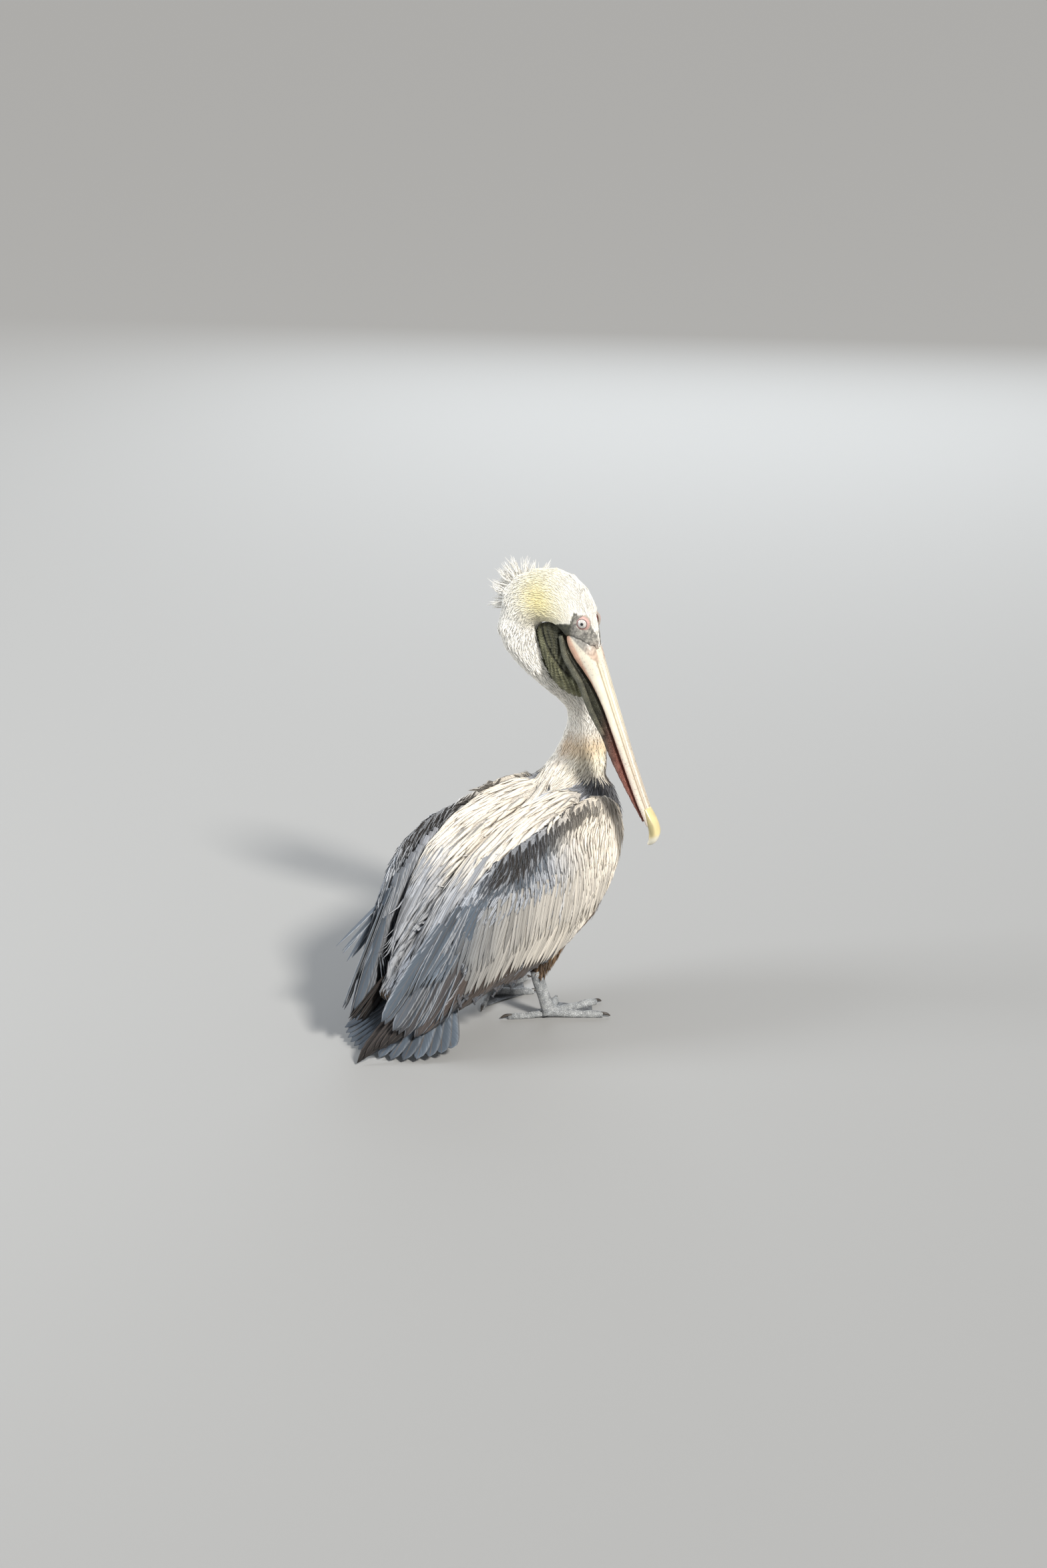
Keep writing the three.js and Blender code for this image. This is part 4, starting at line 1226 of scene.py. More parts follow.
@dataclass
class Tract:
    """Small feathers scattered over a region of the skin, with sizes in millimetres.

    Wanted gives each place's share from 0 to 1. Lift is how high the tips lie over the skin, swing
    how far a feather turns off the lie of the coat, in degrees, and shaft how plainly it shows.
    Within reach of the skin a feather follows it, and one that overhangs it further is left out.
    """

    wanted: Share
    spacing: float
    length: Size
    width: Size
    lift: float = 2.5
    base: float = 0.2
    swing: float = 8.0
    shaft: float = 0.3
    seed: int = 1
    reach: float = 0.004
    overhang: float = 6.0

    def build(self, surface: SkinSurface, flow: Flow) -> Vanes:
        """Roots the feathers and lays them along the coat.

        Args:
            surface: the skin.
            flow: the lie of the coat.

        Returns:
            The feathers.
        """
        rng = np.random.default_rng(self.seed)
        sites, flat = surface.roots(self.spacing * MM, rng, self.wanted)
        count = len(sites.points)
        length = self.sized(self.length, sites) * rng.uniform(0.82, 1.15, count) * MM
        width = self.sized(self.width, sites) * rng.uniform(0.85, 1.15, count) * MM
        steps = np.array(SMALL_STEPS)
        way = flow.at(sites.points, sites.normals)
        turn = np.radians(rng.normal(0, self.swing, count))[:, None]
        way = way * np.cos(turn) + np.cross(sites.normals, way) * np.sin(turn)
        place, outward = sites.points.copy(), sites.normals.copy()
        paths, ups = [place + outward * self.base * MM], [outward.copy()]
        lift = self.lift * rng.uniform(0.6, 1.3, count)[:, None] * MM
        for before, after in zip(steps[:-1], steps[1:]):
            stride = (length * (after - before))[:, None]
            target = place + way * stride
            for i in range(count):
                found, facing, _, gap = surface.tree.find_nearest(Vector(target[i]))
                if gap < self.reach + 0.35 * stride[i, 0] and Vector(outward[i]).dot(facing) > 0.2:
                    place[i] = found
                    outward[i] = unit(0.5 * outward[i] + 0.5 * np.array(facing))
                else:
                    place[i] = target[i]
            lie = flow.at(place, outward)
            way = unit(way * 0.6 + lie * 0.4)
            way = unit(way - (way * outward).sum(-1, keepdims=True) * outward)
            paths.append(place + outward * (self.base * MM + lift * after**1.2))
            ups.append(outward.copy())
        core, edge = MARKINGS.colours(sites)
        loose = np.array([surface.tree.find_nearest(Vector(tip))[3] for tip in place])
        kept = loose < self.overhang * MM
        return Vanes(
            paths=np.stack(paths, 1)[kept],
            ups=np.stack(ups, 1)[kept],
            halves=(width[:, None] / 2 * Blade.LANCE.half_widths(steps)[None])[kept],
            steps=steps,
            core=core[kept],
            edge=edge[kept],
            tint=rng.random(count)[kept],
            shaft=np.full(int(kept.sum()), self.shaft),
            flat=flat[kept],
        )

    @staticmethod
    def sized(value: Size, sites: Sites) -> Array:
        """A size at each root."""
        return value(sites) if callable(value) else np.full(len(sites.points), float(value))


@dataclass
class FeatherRow:
    """Large feathers side by side, from a line of roots to a line of tips, in body millimetres.

    Core and edge are colours at the front and the rear of the row. Lift is the height over the skin
    at root and tip, and snap how far from the skin a feather still follows it. Facing is the outward
    direction of those that leave it. A cast row is thrown on the skin from outside, against facing.
    """

    roots: Sequence[Row3]
    tips: Sequence[Row3]
    count: int
    width: float
    core: tuple[Array, Array]
    edge: tuple[Array, Array]
    blade: Blade = Blade.ROUND
    lift: tuple[float, float] = (0.8, 3.0)
    snap: float = 22.0
    facing: Row3 | None = None
    cast: bool = False
    shaft: float = 0.6
    jitter: float = 2.0
    rings: int = 11
    seed: int = 5
    cast_from: float = 0.07
    cast_reach: float = 0.11

    def mirrored(self, hand: Hand) -> FeatherRow:
        """The same row on a given side, from a row of the left side."""
        sides = np.array([1, hand.value, 1])
        return replace(self, roots=self.roots * sides, tips=self.tips * sides, facing=self.facing * sides)

    def build(self, surface: SkinSurface) -> Vanes:
        """Lays the feathers.

        Args:
            surface: the skin.

        Returns:
            The feathers.
        """
        rng = np.random.default_rng(self.seed)
        spread = np.linspace(0, 1, self.count)
        roots = smooth_rows(self.roots, spread) + rng.normal(0, self.jitter * 0.5, (self.count, 3))
        tips = smooth_rows(self.tips, spread) + rng.normal(0, self.jitter, (self.count, 3))
        steps = 1 - (1 - np.linspace(0, 1, self.rings)) ** 1.25
        paths, ups, flats = [], [], []
        for k, (root, tip) in enumerate(zip(BODY.at(roots), BODY.at(tips))):
            path, up = self.lay(surface, root, tip, steps, 0.35 * (k % 3))
            paths.append(path)
            ups.append(up)
            flats.append(surface.flat_place(root))
        widths = self.width * rng.uniform(0.9, 1.1, (self.count, 1))
        return Vanes(
            paths=np.array(paths),
            ups=np.array(ups),
            halves=widths / 2 * MM * self.blade.half_widths(steps)[None],
            steps=steps,
            core=blend_to(self.core[0], (self.core[1], spread)),
            edge=blend_to(self.edge[0], (self.edge[1], spread)),
            tint=rng.random(self.count),
            shaft=np.full(self.count, self.shaft),
            flat=np.array(flats),
        )

    def lay(self, surface: SkinSurface, root: Array, tip: Array, steps: Array, extra: float) -> tuple:
        """One feather's shaft and outward directions."""
        straight = root + (tip - root) * steps[:, None]
        offsets = np.zeros_like(straight)
        facing = BODY.towards(self.facing) if self.facing is not None else None
        ups = np.zeros_like(straight)
        held = np.zeros(len(steps), bool)
        height = (self.lift[0] + extra + (self.lift[1] - self.lift[0]) * steps) * MM
        for k, point in enumerate(straight):
            found, outward, _, gap = surface.tree.find_nearest(Vector(point))
            if self.cast:
                start = Vector(point + facing * self.cast_from)
                found, outward, _, gap = surface.tree.ray_cast(start, Vector(-facing), self.cast_reach)
                if found is None:
                    continue
                gap = abs(gap - self.cast_from)
            outward = np.array(outward)
            if gap < self.snap * MM and (facing is None or outward @ facing > 0.1):
                offsets[k] = np.array(found) + outward * height[k] - point
                ups[k] = outward
                held[k] = True
        if held.any():
            known = np.flatnonzero(held)
            last = known[-1]
            for axis in range(3):
                x = np.concatenate([steps[known], [max(1.0, steps[last] + 1e-6)]])
                tail = offsets[last, axis] if held[-1] else 0.0
                offsets[:, axis] = np.interp(steps, x, np.append(offsets[known, axis], tail))
                ups[:, axis] = np.interp(steps, steps[known], ups[known, axis])
        elif facing is not None:
            ups[:] = facing
        if facing is not None:
            ups = ups + facing * 0.8
        path = straight + offsets
        for _ in range(2):
            path[1:-1] = 0.5 * path[1:-1] + 0.25 * (path[:-2] + path[2:])
        return path, unit(ups)


# -------------------- body plumage


@dataclass
class BodyPlumage:
    """The small feathers of trunk, back, wings and thighs, tract by tract."""

    breast_spacing: float = 5.2
    mantle_spacing: float = 4.2
    back_spacing: float = 8.6
    comb_spacing: float = 5.0
    shield_spacing: float = 6.6
    lower_spacing: float = 6.0
    shield_edge: tuple = (
        (-250, 180), (-190, 188), (-145, 204), (-90, 210), (-25, 206), (10, 192), (28, 180), (71, 188),
        (103, 228), (118, 266),
    )

    def tracts(self) -> dict[str, tuple[Tract, PlumageFinish]]:
        """The tracts and their finishes by the piece's name."""
        breast = Tract(
            lambda s: s.on("trunk", "thigh") * (self.region_back(s) < 0.5),
            self.breast_spacing,
            lambda s: 30 - 10 * step_up(s.up, 250, 320) - 13 * step_up(-s.up, -112, -84),
            5.0, lift=3.0, swing=8, seed=11,
        )
        mantle = Tract(
            lambda s: s.on("neck") * (s.up < 368 - 12 * s.normals[:, 1]),
            self.mantle_spacing,
            lambda s: 15 + 12 * step_up(-s.up, -360, -310),
            lambda s: 3.4 + 1.6 * step_up(-s.up, -350, -310),
            lift=2.2, swing=7, seed=15,
        )
        back = Tract(
            lambda s: s.on("scapulars") * (self.off_middle(s) < 75) + s.on("trunk") * self.region_back(s),
            self.back_spacing,
            lambda s: 50 + 30 * step_up(-s.forward, -40, 60),
            12.5, lift=3.6, swing=4, seed=12,
        )
        shoulder = Tract(
            lambda s: s.on("wing") * (self.below(s) < 27 + 14 * self.elbow(s)) * (s.forward > -155)
            + s.on("scapulars") * (self.off_middle(s) >= 73),
            self.comb_spacing,
            lambda s: 21 + 5 * self.elbow(s),
            lambda s: 7.2 + 0.4 * self.elbow(s),
            lift=3.4, swing=3, seed=13,
        )
        shield = Tract(
            lambda s: s.on("wing") * self.shield(s),
            self.shield_spacing,
            lambda s: 34 + 24 * step_up(self.below(s), 50, 120) * step_up(-s.forward, -60, 20),
            lambda s: 6.6 + 2 * step_up(-s.forward, -60, 20),
            lift=2.6, swing=3, seed=14,
        )
        lower = Tract(
            lambda s: s.on("wing") * (self.shield(s) < 0.5) * (self.below(s) > 18) * self.outer(s),
            self.lower_spacing,
            lambda s: 22 - 4 * step_up(s.forward, 0, 80),
            7.5, lift=1.2, swing=4, seed=16,
        )
        # Each row: tract, finish name, where the core starts and stops fading across the feather, and the
        # strength of the painted shadow along the feathers' edges.
        finishes = {
            "breast_feathers": (breast, "breast_plumage", 0.4, 0.85, 0.0),
            "mantle_feathers": (mantle, "mantle_plumage", 0.2, 0.45, 0.0),
            "back_feathers": (back, "back_plumage", 0.14, 0.3, 0.55),
            "shoulder_coverts": (shoulder, "shoulder_plumage", 0.76, 0.84, 0.0),
            "wing_coverts": (shield, "shield_plumage", 0.22, 0.5, 0.4),
            "lower_coverts": (lower, "lower_plumage", 0.24, 0.55, 0.5),
        }
        return {
            name: (tract, PlumageFinish(finish, core_from=low, core_to=high, parting=parting))
            for name, (tract, finish, low, high, parting) in finishes.items()
        }

    @staticmethod
    def off_middle(sites: Sites) -> Array:
        """How far each place lies from the middle of the body, in millimetres."""
        return np.abs(sites.left)

    @staticmethod
    def region_back(sites: Sites) -> Array:
        """1 on the back and rump, 0 on breast and belly."""
        return ((sites.up > 120) & (sites.forward < 60) & (sites.normals[:, 2] > 0.15)).astype(float)

    @staticmethod
    def below(sites: Sites) -> Array:
        """How far below the wing's ridge."""
        return WING_LINES.below_ridge(sites.forward, sites.up)

    def shield(self, sites: Sites) -> Array:
        """1 where the long side coverts are rooted."""
        edge = np.interp(sites.forward, *zip(*self.shield_edge))
        under = (self.below(sites) > 18) | (sites.forward < -135)
        return (under & (sites.up > edge)).astype(float)

    @staticmethod
    def outer(sites: Sites) -> Array:
        """1 on the sides that face away from the body."""
        return sites.normals[:, 0] * np.sign(sites.left) > 0.25

    @staticmethod
    def elbow(sites: Sites) -> Array:
        """1 in the dark fan at the rear of the ridge."""
        return bump_at(sites.forward, -95, 48)

    def build(self, surface: SkinSurface, flow: Flow, effects: SharedEffects) -> list[Piece]:
        """Makes the pieces."""
        pieces = []
        for name, (tract, finish) in self.tracts().items():
            vanes = tract.build(surface, flow)
            if name == "back_feathers":
                vanes = vanes.joined(self.spine().build(surface))
            self.redress(name, vanes)
            pieces.append(VaneMesher().build(name, vanes, finish.build(effects)))
        return pieces

    @staticmethod
    def spine() -> FeatherRow:
        """Feathers down the middle of the back, over the groove between the scapulars."""
        ash, cream, silver = MARKINGS.ash, MARKINGS.cream, MARKINGS.silver
        # The edges fade from cream to a dimmed silver towards the rump: partly the rump's own grey, partly
        # painted shade of a cast shadow over the rear back.
        return FeatherRow(
            [(78, 0, 318), (20, 0, 308), (-50, 0, 288), (-110, 0, 252), (-150, 0, 222)],
            [(30, 0, 310), (-40, 0, 290), (-112, 0, 252), (-168, 0, 205), (-206, 0, 175)],
            44, 13, (ash * 0.6, ash * 0.6), (cream, silver * 0.6),
            blade=Blade.LANCE, lift=(3.0, 6.0), snap=60, facing=(0, 0, 1), cast=True, jitter=5.0,
            rings=len(SMALL_STEPS), seed=44,
        )

    @staticmethod
    def redress(name: str, vanes: Vanes) -> None:
        """Varies the feathers' colours within a tract by chance."""
        rng = np.random.default_rng(len(name))
        vanes.core *= rng.uniform(0.8, 1.15, (len(vanes.core), 1))
        vanes.edge *= rng.uniform(0.85, 1.08, (len(vanes.edge), 1))


# -------------------- down and crest


@dataclass
class DownCoat:
    """Short soft feathers, scattered over a region and laid by Geometry Nodes."""

    name: str
    region: str
    tuft_length: float = 9.0 * MM
    tuft_width: float = 1.9 * MM
    least_gap: float = 1.7 * MM
    density: float = 400000.0
    tilt: float = 3.0
    stray: float = 0.32
    seed: int = 7

    def tuft(self) -> Piece:
        """One short curved tuft with its root at the origin, lying along Y and rising along Z."""
        rows = ((0.0, 0.7, 0.0), (0.5, 1.0, 0.05), (1.0, 0.14, 0.02))
        points, along, across = [], [], []
        for t, wide, rise in rows:
            for aside, high in ((-1, 0.0), (0, 0.07), (1, 0.0)):
                half = self.tuft_width / 2 * wide
                lift = (rise + high * wide) * self.tuft_length
                points.append((aside * half, t * self.tuft_length, lift))
                along.append(t)
                across.append(aside)
        piece = closed_object("tuft", points, [*grid_faces(3, 3), (0, 1, 2), (8, 7, 6)])
        note(piece.data, "along", np.array(along, float))
        note(piece.data, "across", np.array(across, float))
        return piece

    def tree(self) -> Tree:
        """The scattering tree with named inputs."""
        tree = bpy.data.node_groups.new(self.name, "GeometryNodeTree")
        for name, way, kind in (
            ("Geometry", "INPUT", "Geometry"), ("Tuft", "INPUT", "Object"), ("Least Gap", "INPUT", "Float"),
            ("Density", "INPUT", "Float"), ("Tilt", "INPUT", "Float"), ("Seed", "INPUT", "Int"),
            ("Finish", "INPUT", "Material"), ("Geometry", "OUTPUT", "Geometry"),
        ):
            tree.interface.new_socket(name, in_out=way, socket_type=f"NodeSocket{kind}")
        nodes = Nodes(tree)
        given = nodes.add("NodeGroupInput").outputs
        scatter = nodes.add(
            "GeometryNodeDistributePointsOnFaces",
            {"distribute_method": "POISSON"},
            mesh=given["Geometry"],
            distance_min=given["Least Gap"],
            density_max=given["Density"],
            density_factor=nodes.attribute(self.region),
            seed=given["Seed"],
        )
        flat = nodes.attribute("OFBake", "FLOAT_VECTOR")
        rooted = nodes.stored("root_place", "FLOAT_VECTOR", "POINT", scatter.outputs["Points"], flat)
        chance = nodes.add("FunctionNodeRandomValue", {"data_type": "FLOAT"}, i2=0.75, i3=1.25).outputs[1]
        place = nodes.add(
            "GeometryNodeInstanceOnPoints",
            points=rooted,
            instance=nodes.add("GeometryNodeObjectInfo", object=given["Tuft"]).outputs["Geometry"],
            rotation=self.lie(nodes, scatter.outputs["Normal"], given["Tilt"]),
            scale=nodes.times(nodes.attribute("down_size"), chance),
        )
        hue = nodes.add("FunctionNodeRandomValue", {"data_type": "FLOAT"}).outputs[1]
        tinted = nodes.stored("tint", "FLOAT", "INSTANCE", place.outputs[0], hue)
        real = nodes.add("GeometryNodeRealizeInstances", i0=tinted).outputs[0]
        mapped = self.add_map(nodes, real)
        painted = nodes.add("GeometryNodeSetMaterial", geometry=mapped, material=given["Finish"])
        nodes.add("NodeGroupOutput", i0=painted.outputs[0])
        return tree

    def lie(self, nodes: Nodes, normal: Socket, tilt: Socket) -> Socket:
        """Each tuft's rotation: along the coat, a little astray and tipped up."""
        settings = {"data_type": "FLOAT_VECTOR"}
        astray = nodes.add("FunctionNodeRandomValue", settings, i0=(-self.stray,) * 3, i1=(self.stray,) * 3)
        way = nodes.attribute("flow", "FLOAT_VECTOR")
        swung = nodes.maths("ADD", way, astray.outputs[0], kind="ShaderNodeVectorMath")
        upright = nodes.add("FunctionNodeAlignRotationToVector", {"axis": "Z"}, vector=normal).outputs[0]
        settings = {"axis": "Y", "pivot_axis": "Z"}
        laid = nodes.add("FunctionNodeAlignRotationToVector", settings, rotation=upright, vector=swung)
        chance = nodes.add("FunctionNodeRandomValue", {"data_type": "FLOAT"}, i2=0.35, i3=1.5).outputs[1]
        turn = nodes.add("ShaderNodeCombineXYZ", x=nodes.times(tilt, chance), y=0.0, z=0.0).outputs[0]
        local = {"rotation_space": "LOCAL"}
        return nodes.add("FunctionNodeRotateRotation", local, i0=laid.outputs[0], i1=turn).outputs[0]

    @staticmethod
    def add_map(nodes: Nodes, geometry: Socket) -> Socket:
        """Stores the map: a small patch for each tuft at its root's place."""
        u = nodes.times(nodes.attribute("across"), 0.0014)
        v = nodes.maths("MULTIPLY_ADD", nodes.attribute("along"), 0.0028, -0.0014)
        offset = nodes.add("ShaderNodeCombineXYZ", x=u, y=v, z=0.0).outputs[0]
        root = nodes.attribute("root_place", "FLOAT_VECTOR")
        total = nodes.maths("ADD", root, offset, kind="ShaderNodeVectorMath")
        return nodes.stored("OFBake", "FLOAT2", "CORNER", geometry, total)

    def build(self, skin: Piece, finish: Material) -> Piece:
        """Grows the coat.

        Args:
            skin: the skin with its attributes down, down_size and flow.
            finish: the down's material.

        Returns:
            The coat as one realized mesh.
        """
        tuft, tree = self.tuft(), self.tree()
        coat = linked(self.name, skin.data.copy())
        grow = coat.modifiers.new("grow", "NODES")
        grow.node_group = tree
        given = {
            "Tuft": tuft,
            "Least Gap": self.least_gap,
            "Density": self.density,
            "Tilt": math.radians(self.tilt),
            "Seed": self.seed,
            "Finish": finish,
        }
        for item in tree.interface.items_tree:
            if item.in_out == "INPUT" and item.name in given:
                grow[item.identifier] = given[item.name]
        applied(coat)
        bpy.data.objects.remove(tuft)
        mesh = coat.data
        if not mesh.materials:
            mesh.materials.append(finish)
        note(mesh, "shaft", np.zeros(len(mesh.vertices)))
        return coat


@dataclass
class NapeCrest:
    """Loose spiky feathers on the nape and a small tuft on the crown."""

    root: Row3 = (-54, 0, -78)
    tips: tuple[Row3, ...] = (
        (-97, 6, -34), (-104, -3, -52), (-113, 5, -70), (-119, 2, -88), (-117, -6, -98), (-112, -5, -108),
        (-108, 7, -115), (-103, 5, -121), (-97, -7, -127), (-90, -4, -131), (-83, 6, -136), (-76, 4, -139),
        (-69, -6, -143), (-62, -2, -144),
    )
    strands: int = 18
    width: float = 2.7
    seed: int = 21

    def build(self, surface: SkinSurface, finish: Material) -> Piece:
        """Makes the crest."""
        rng = np.random.default_rng(self.seed)
        steps = np.array([0, 0.25, 0.5, 0.75, 1.0])
        root = np.array(self.root)
        paths, ups, halves, flats = [], [], [], []
        for tip in self.tips:
            for _ in range(self.strands):
                end = root + (np.array(tip) - root) * 1.03 + rng.normal(0, (2.2, 6.0, 2.2))
                start = root + (np.array(tip) - root) * rng.uniform(0.42, 0.62)
                start += rng.normal(0, (3, 8, 3))
                reach = rng.uniform(0.72, 1.0)
                end = start + (end - start) * reach
                bend = rng.normal(0, 1.6, 3) + np.array([0, 0, -2.0])
                line = start + (end - start) * steps[:, None] + bend * np.sin(steps * math.pi)[:, None]
                paths.append(HEAD.at(line))
                outward = unit(np.array(tip) - self.root + rng.normal(0, 6, 3))
                facing = HEAD.towards(np.array([0, rng.choice([-1, 1]) * 1.0, 0]) + 0.4 * outward)
                ups.append(np.tile(facing, (5, 1)))
                slim = self.width * rng.uniform(0.7, 1.3) / 2 * MM
                halves.append(slim * np.clip((1 - steps) ** 0.7 * (0.6 + 0.6 * steps), 0.05, 1))
                flats.append(surface.flat_place(HEAD.at(start)))
        count = len(paths)
        white = np.tile(Markings.white, (count, 1))
        vanes = Vanes(
            np.array(paths), np.array(ups), np.array(halves), steps, white * 0.9, white,
            rng.random(count), np.zeros(count), np.array(flats),
        )
        return VaneMesher(camber=0.1, thickness=0.35 * MM).build("crest_feathers", vanes, finish)


# -------------------- wings and tail


@dataclass
class FoldedWing:
    """The long feathers of one folded wing."""

    hand: Hand

    def rows(self) -> dict[str, FeatherRow]:
        """The rows by name, from the undermost to the uppermost, as on the left side."""
        slate, ash, silver, cream = Markings.slate, Markings.ash, Markings.silver, Markings.cream
        umber, sable = Markings.umber, Markings.sable
        near = self.hand is Hand.LEFT
        side = {"snap": 32, "facing": (-0.05, 1, 0.05), "cast": True}
        wisp = {"blade": Blade.POINTED, "lift": (1.6, 3.0), "jitter": 3.0, "seed": 37}
        return {
            "primaries": FeatherRow(
                [(-196, 46, 124), (-190, 54, 112), (-184, 60, 98)],
                [(-302, 36, 50), (-286, 42, 44), (-268, 45, 38)] if near
                else [(-328, 8, 6), (-312, 22, 18), (-292, 34, 30)],
                8, 21, (sable, sable), (umber, umber),
                lift=(0.5, 1), snap=9, facing=(-0.3, 0.6, 0.7), jitter=1.5, shaft=0.3, seed=31,
            ),
            "rear_quills": FeatherRow(
                [(-168, 88, 130), (-184, 82, 160), (-200, 72, 184), (-212, 60, 192)],
                [(-232, 52, 33), (-262, 52, 36), (-288, 46, 48), (-306, 40, 66)],
                10, 20, (umber * 0.9, slate * 0.8), (silver * 0.9, silver * 0.8),
                lift=(1.0, 2.5), snap=14, facing=(-0.2, 0.9, 0.4), shaft=0.5, seed=32,
            ),
            "inner_quills": FeatherRow(
                [(-150, 86, 190), (-178, 78, 184), (-200, 68, 176), (-214, 56, 170)],
                [(-214, 68, 50), (-240, 58, 46), (-264, 50, 46), (-286, 41, 52)],
                10, 20, (slate, slate * 0.8), (silver * 0.9, ash),
                lift=(0.6, 1.5), snap=6, facing=(-0.5, -0.35, 0.7), jitter=1.0, shaft=0.6, seed=38,
            ),
            "inner_coverts": FeatherRow(
                [(-84, 82, 272), (-112, 80, 258), (-140, 78, 240), (-166, 76, 222), (-186, 72, 206)],
                [(-150, 84, 172), (-178, 78, 148), (-206, 72, 128), (-232, 64, 116), (-256, 54, 112)],
                24, 13, (ash, slate * 0.9), (silver, silver * 0.95), blade=Blade.POINTED,
                lift=(0.8, 2.0), snap=8, facing=(-0.5, -0.35, 0.75), jitter=3.0, shaft=0.7, seed=39,
            ),
            "secondaries": FeatherRow(
                [(-20, 100, 150), (-60, 100, 150), (-110, 98, 142), (-150, 90, 130), (-176, 80, 120)],
                [(-52, 82, 90), (-94, 82, 86), (-142, 74, 74), (-186, 62, 58), (-216, 50, 46)],
                20, 18, (umber, umber * 0.8), (silver * 0.9, ash), lift=(0.4, 1.2), seed=33, **side,
            ),
            # The edges fade from cream to a dimmed silver towards the rear: partly the wing's own grey,
            # partly painted shade of a cast shadow over the wing's rear.
            "greater_coverts": FeatherRow(
                [(12, 104, 172), (-30, 106, 190), (-66, 108, 196), (-100, 108, 196),
                 (-130, 104, 188), (-158, 98, 178), (-180, 92, 170), (-204, 82, 168)],
                [(-20, 94, 102), (-58, 94, 103), (-94, 92, 106), (-124, 90, 101),
                 (-154, 84, 94), (-185, 78, 85), (-208, 70, 82), (-242, 56, 86)],
                36, 14, (cream * 0.88, slate * 0.8), (cream * 1.05, silver * 0.7), blade=Blade.POINTED,
                lift=(0.8, 3.0), shaft=0.8, jitter=1.6, seed=34, **side,
            ),
            # Same fade to a dimmed silver towards the rear, partly painted shade of a cast shadow over the
            # wing's rear.
            "median_coverts": FeatherRow(
                [(78, 102, 226), (54, 103, 230), (14, 104, 232), (-26, 106, 236), (-62, 108, 236),
                 (-96, 108, 232), (-126, 104, 224), (-150, 98, 214), (-170, 92, 204), (-190, 82, 194)],
                [(66, 100, 176), (40, 100, 154), (-8, 100, 146), (-50, 102, 146), (-86, 102, 146),
                 (-118, 98, 140), (-150, 92, 132), (-178, 86, 124), (-200, 78, 120), (-226, 66, 122)],
                46, 10.5, (cream * 0.9, slate * 0.8), (cream * 1.05, silver * 0.7), blade=Blade.POINTED,
                lift=(0.4, 3.8), shaft=0.9, jitter=2.6, seed=40, **side,
            ),
            "upper_quills": FeatherRow(
                [(-150, 92, 226), (-176, 80, 216), (-190, 66, 214), (-196, 54, 214)],
                [(-212, 74, 112), (-238, 66, 112), (-262, 58, 104), (-276, 46, 96)],
                14, 14, (slate * 0.8, slate * 0.8), (silver, silver * 0.9), blade=Blade.POINTED,
                lift=(1.6, 3.0), snap=16, facing=(-0.3, 0.7, 0.6), shaft=0.8, seed=35,
            ),
            "wisps": FeatherRow(
                [(-178, 88, 196), (-186, 84, 186), (-194, 80, 176)],
                [(-279, 84, 139), (-266, 85, 124), (-252, 84, 112)],
                5, 12, (slate, slate), (silver, silver), snap=10, facing=(-0.6, -0.45, 0.6), **wisp,
            ) if near else FeatherRow(
                [(-178, 78, 196), (-190, 72, 176)], [(-246, 66, 122), (-244, 66, 108)],
                3, 10, (slate, slate), (silver, silver), snap=16, facing=(-0.3, 0.7, 0.6), **wisp,
            ),
            "tertials": FeatherRow(
                [(-96, 58, 268), (-108, 46, 262), (-116, 34, 254)],
                [(-228, 58, 140), (-236, 42, 128), (-240, 26, 118)],
                13, 15, (silver * 0.6, silver * 0.6), (silver * 1.1, silver * 1.05), blade=Blade.POINTED,
                lift=(0.6, 4.4), snap=30, facing=(-0.5, 0.15, 0.85), shaft=0.9, seed=36,
            ),
        }

    def build(self, surface: SkinSurface, finish: Material) -> Piece:
        """Makes one piece from all the rows."""
        whole, *others = (row.mirrored(self.hand).build(surface) for row in self.rows().values())
        for vanes in others:
            whole = whole.joined(vanes)
        rng = np.random.default_rng(whole.paths.shape[0])
        whole.core *= rng.uniform(0.75, 1.2, (len(whole.core), 1))
        mesher = VaneMesher(columns=5, camber=0.12, thickness=0.6 * MM, atlas=True)
        return mesher.build(f"wing_quills_{self.hand.word}", whole, finish)


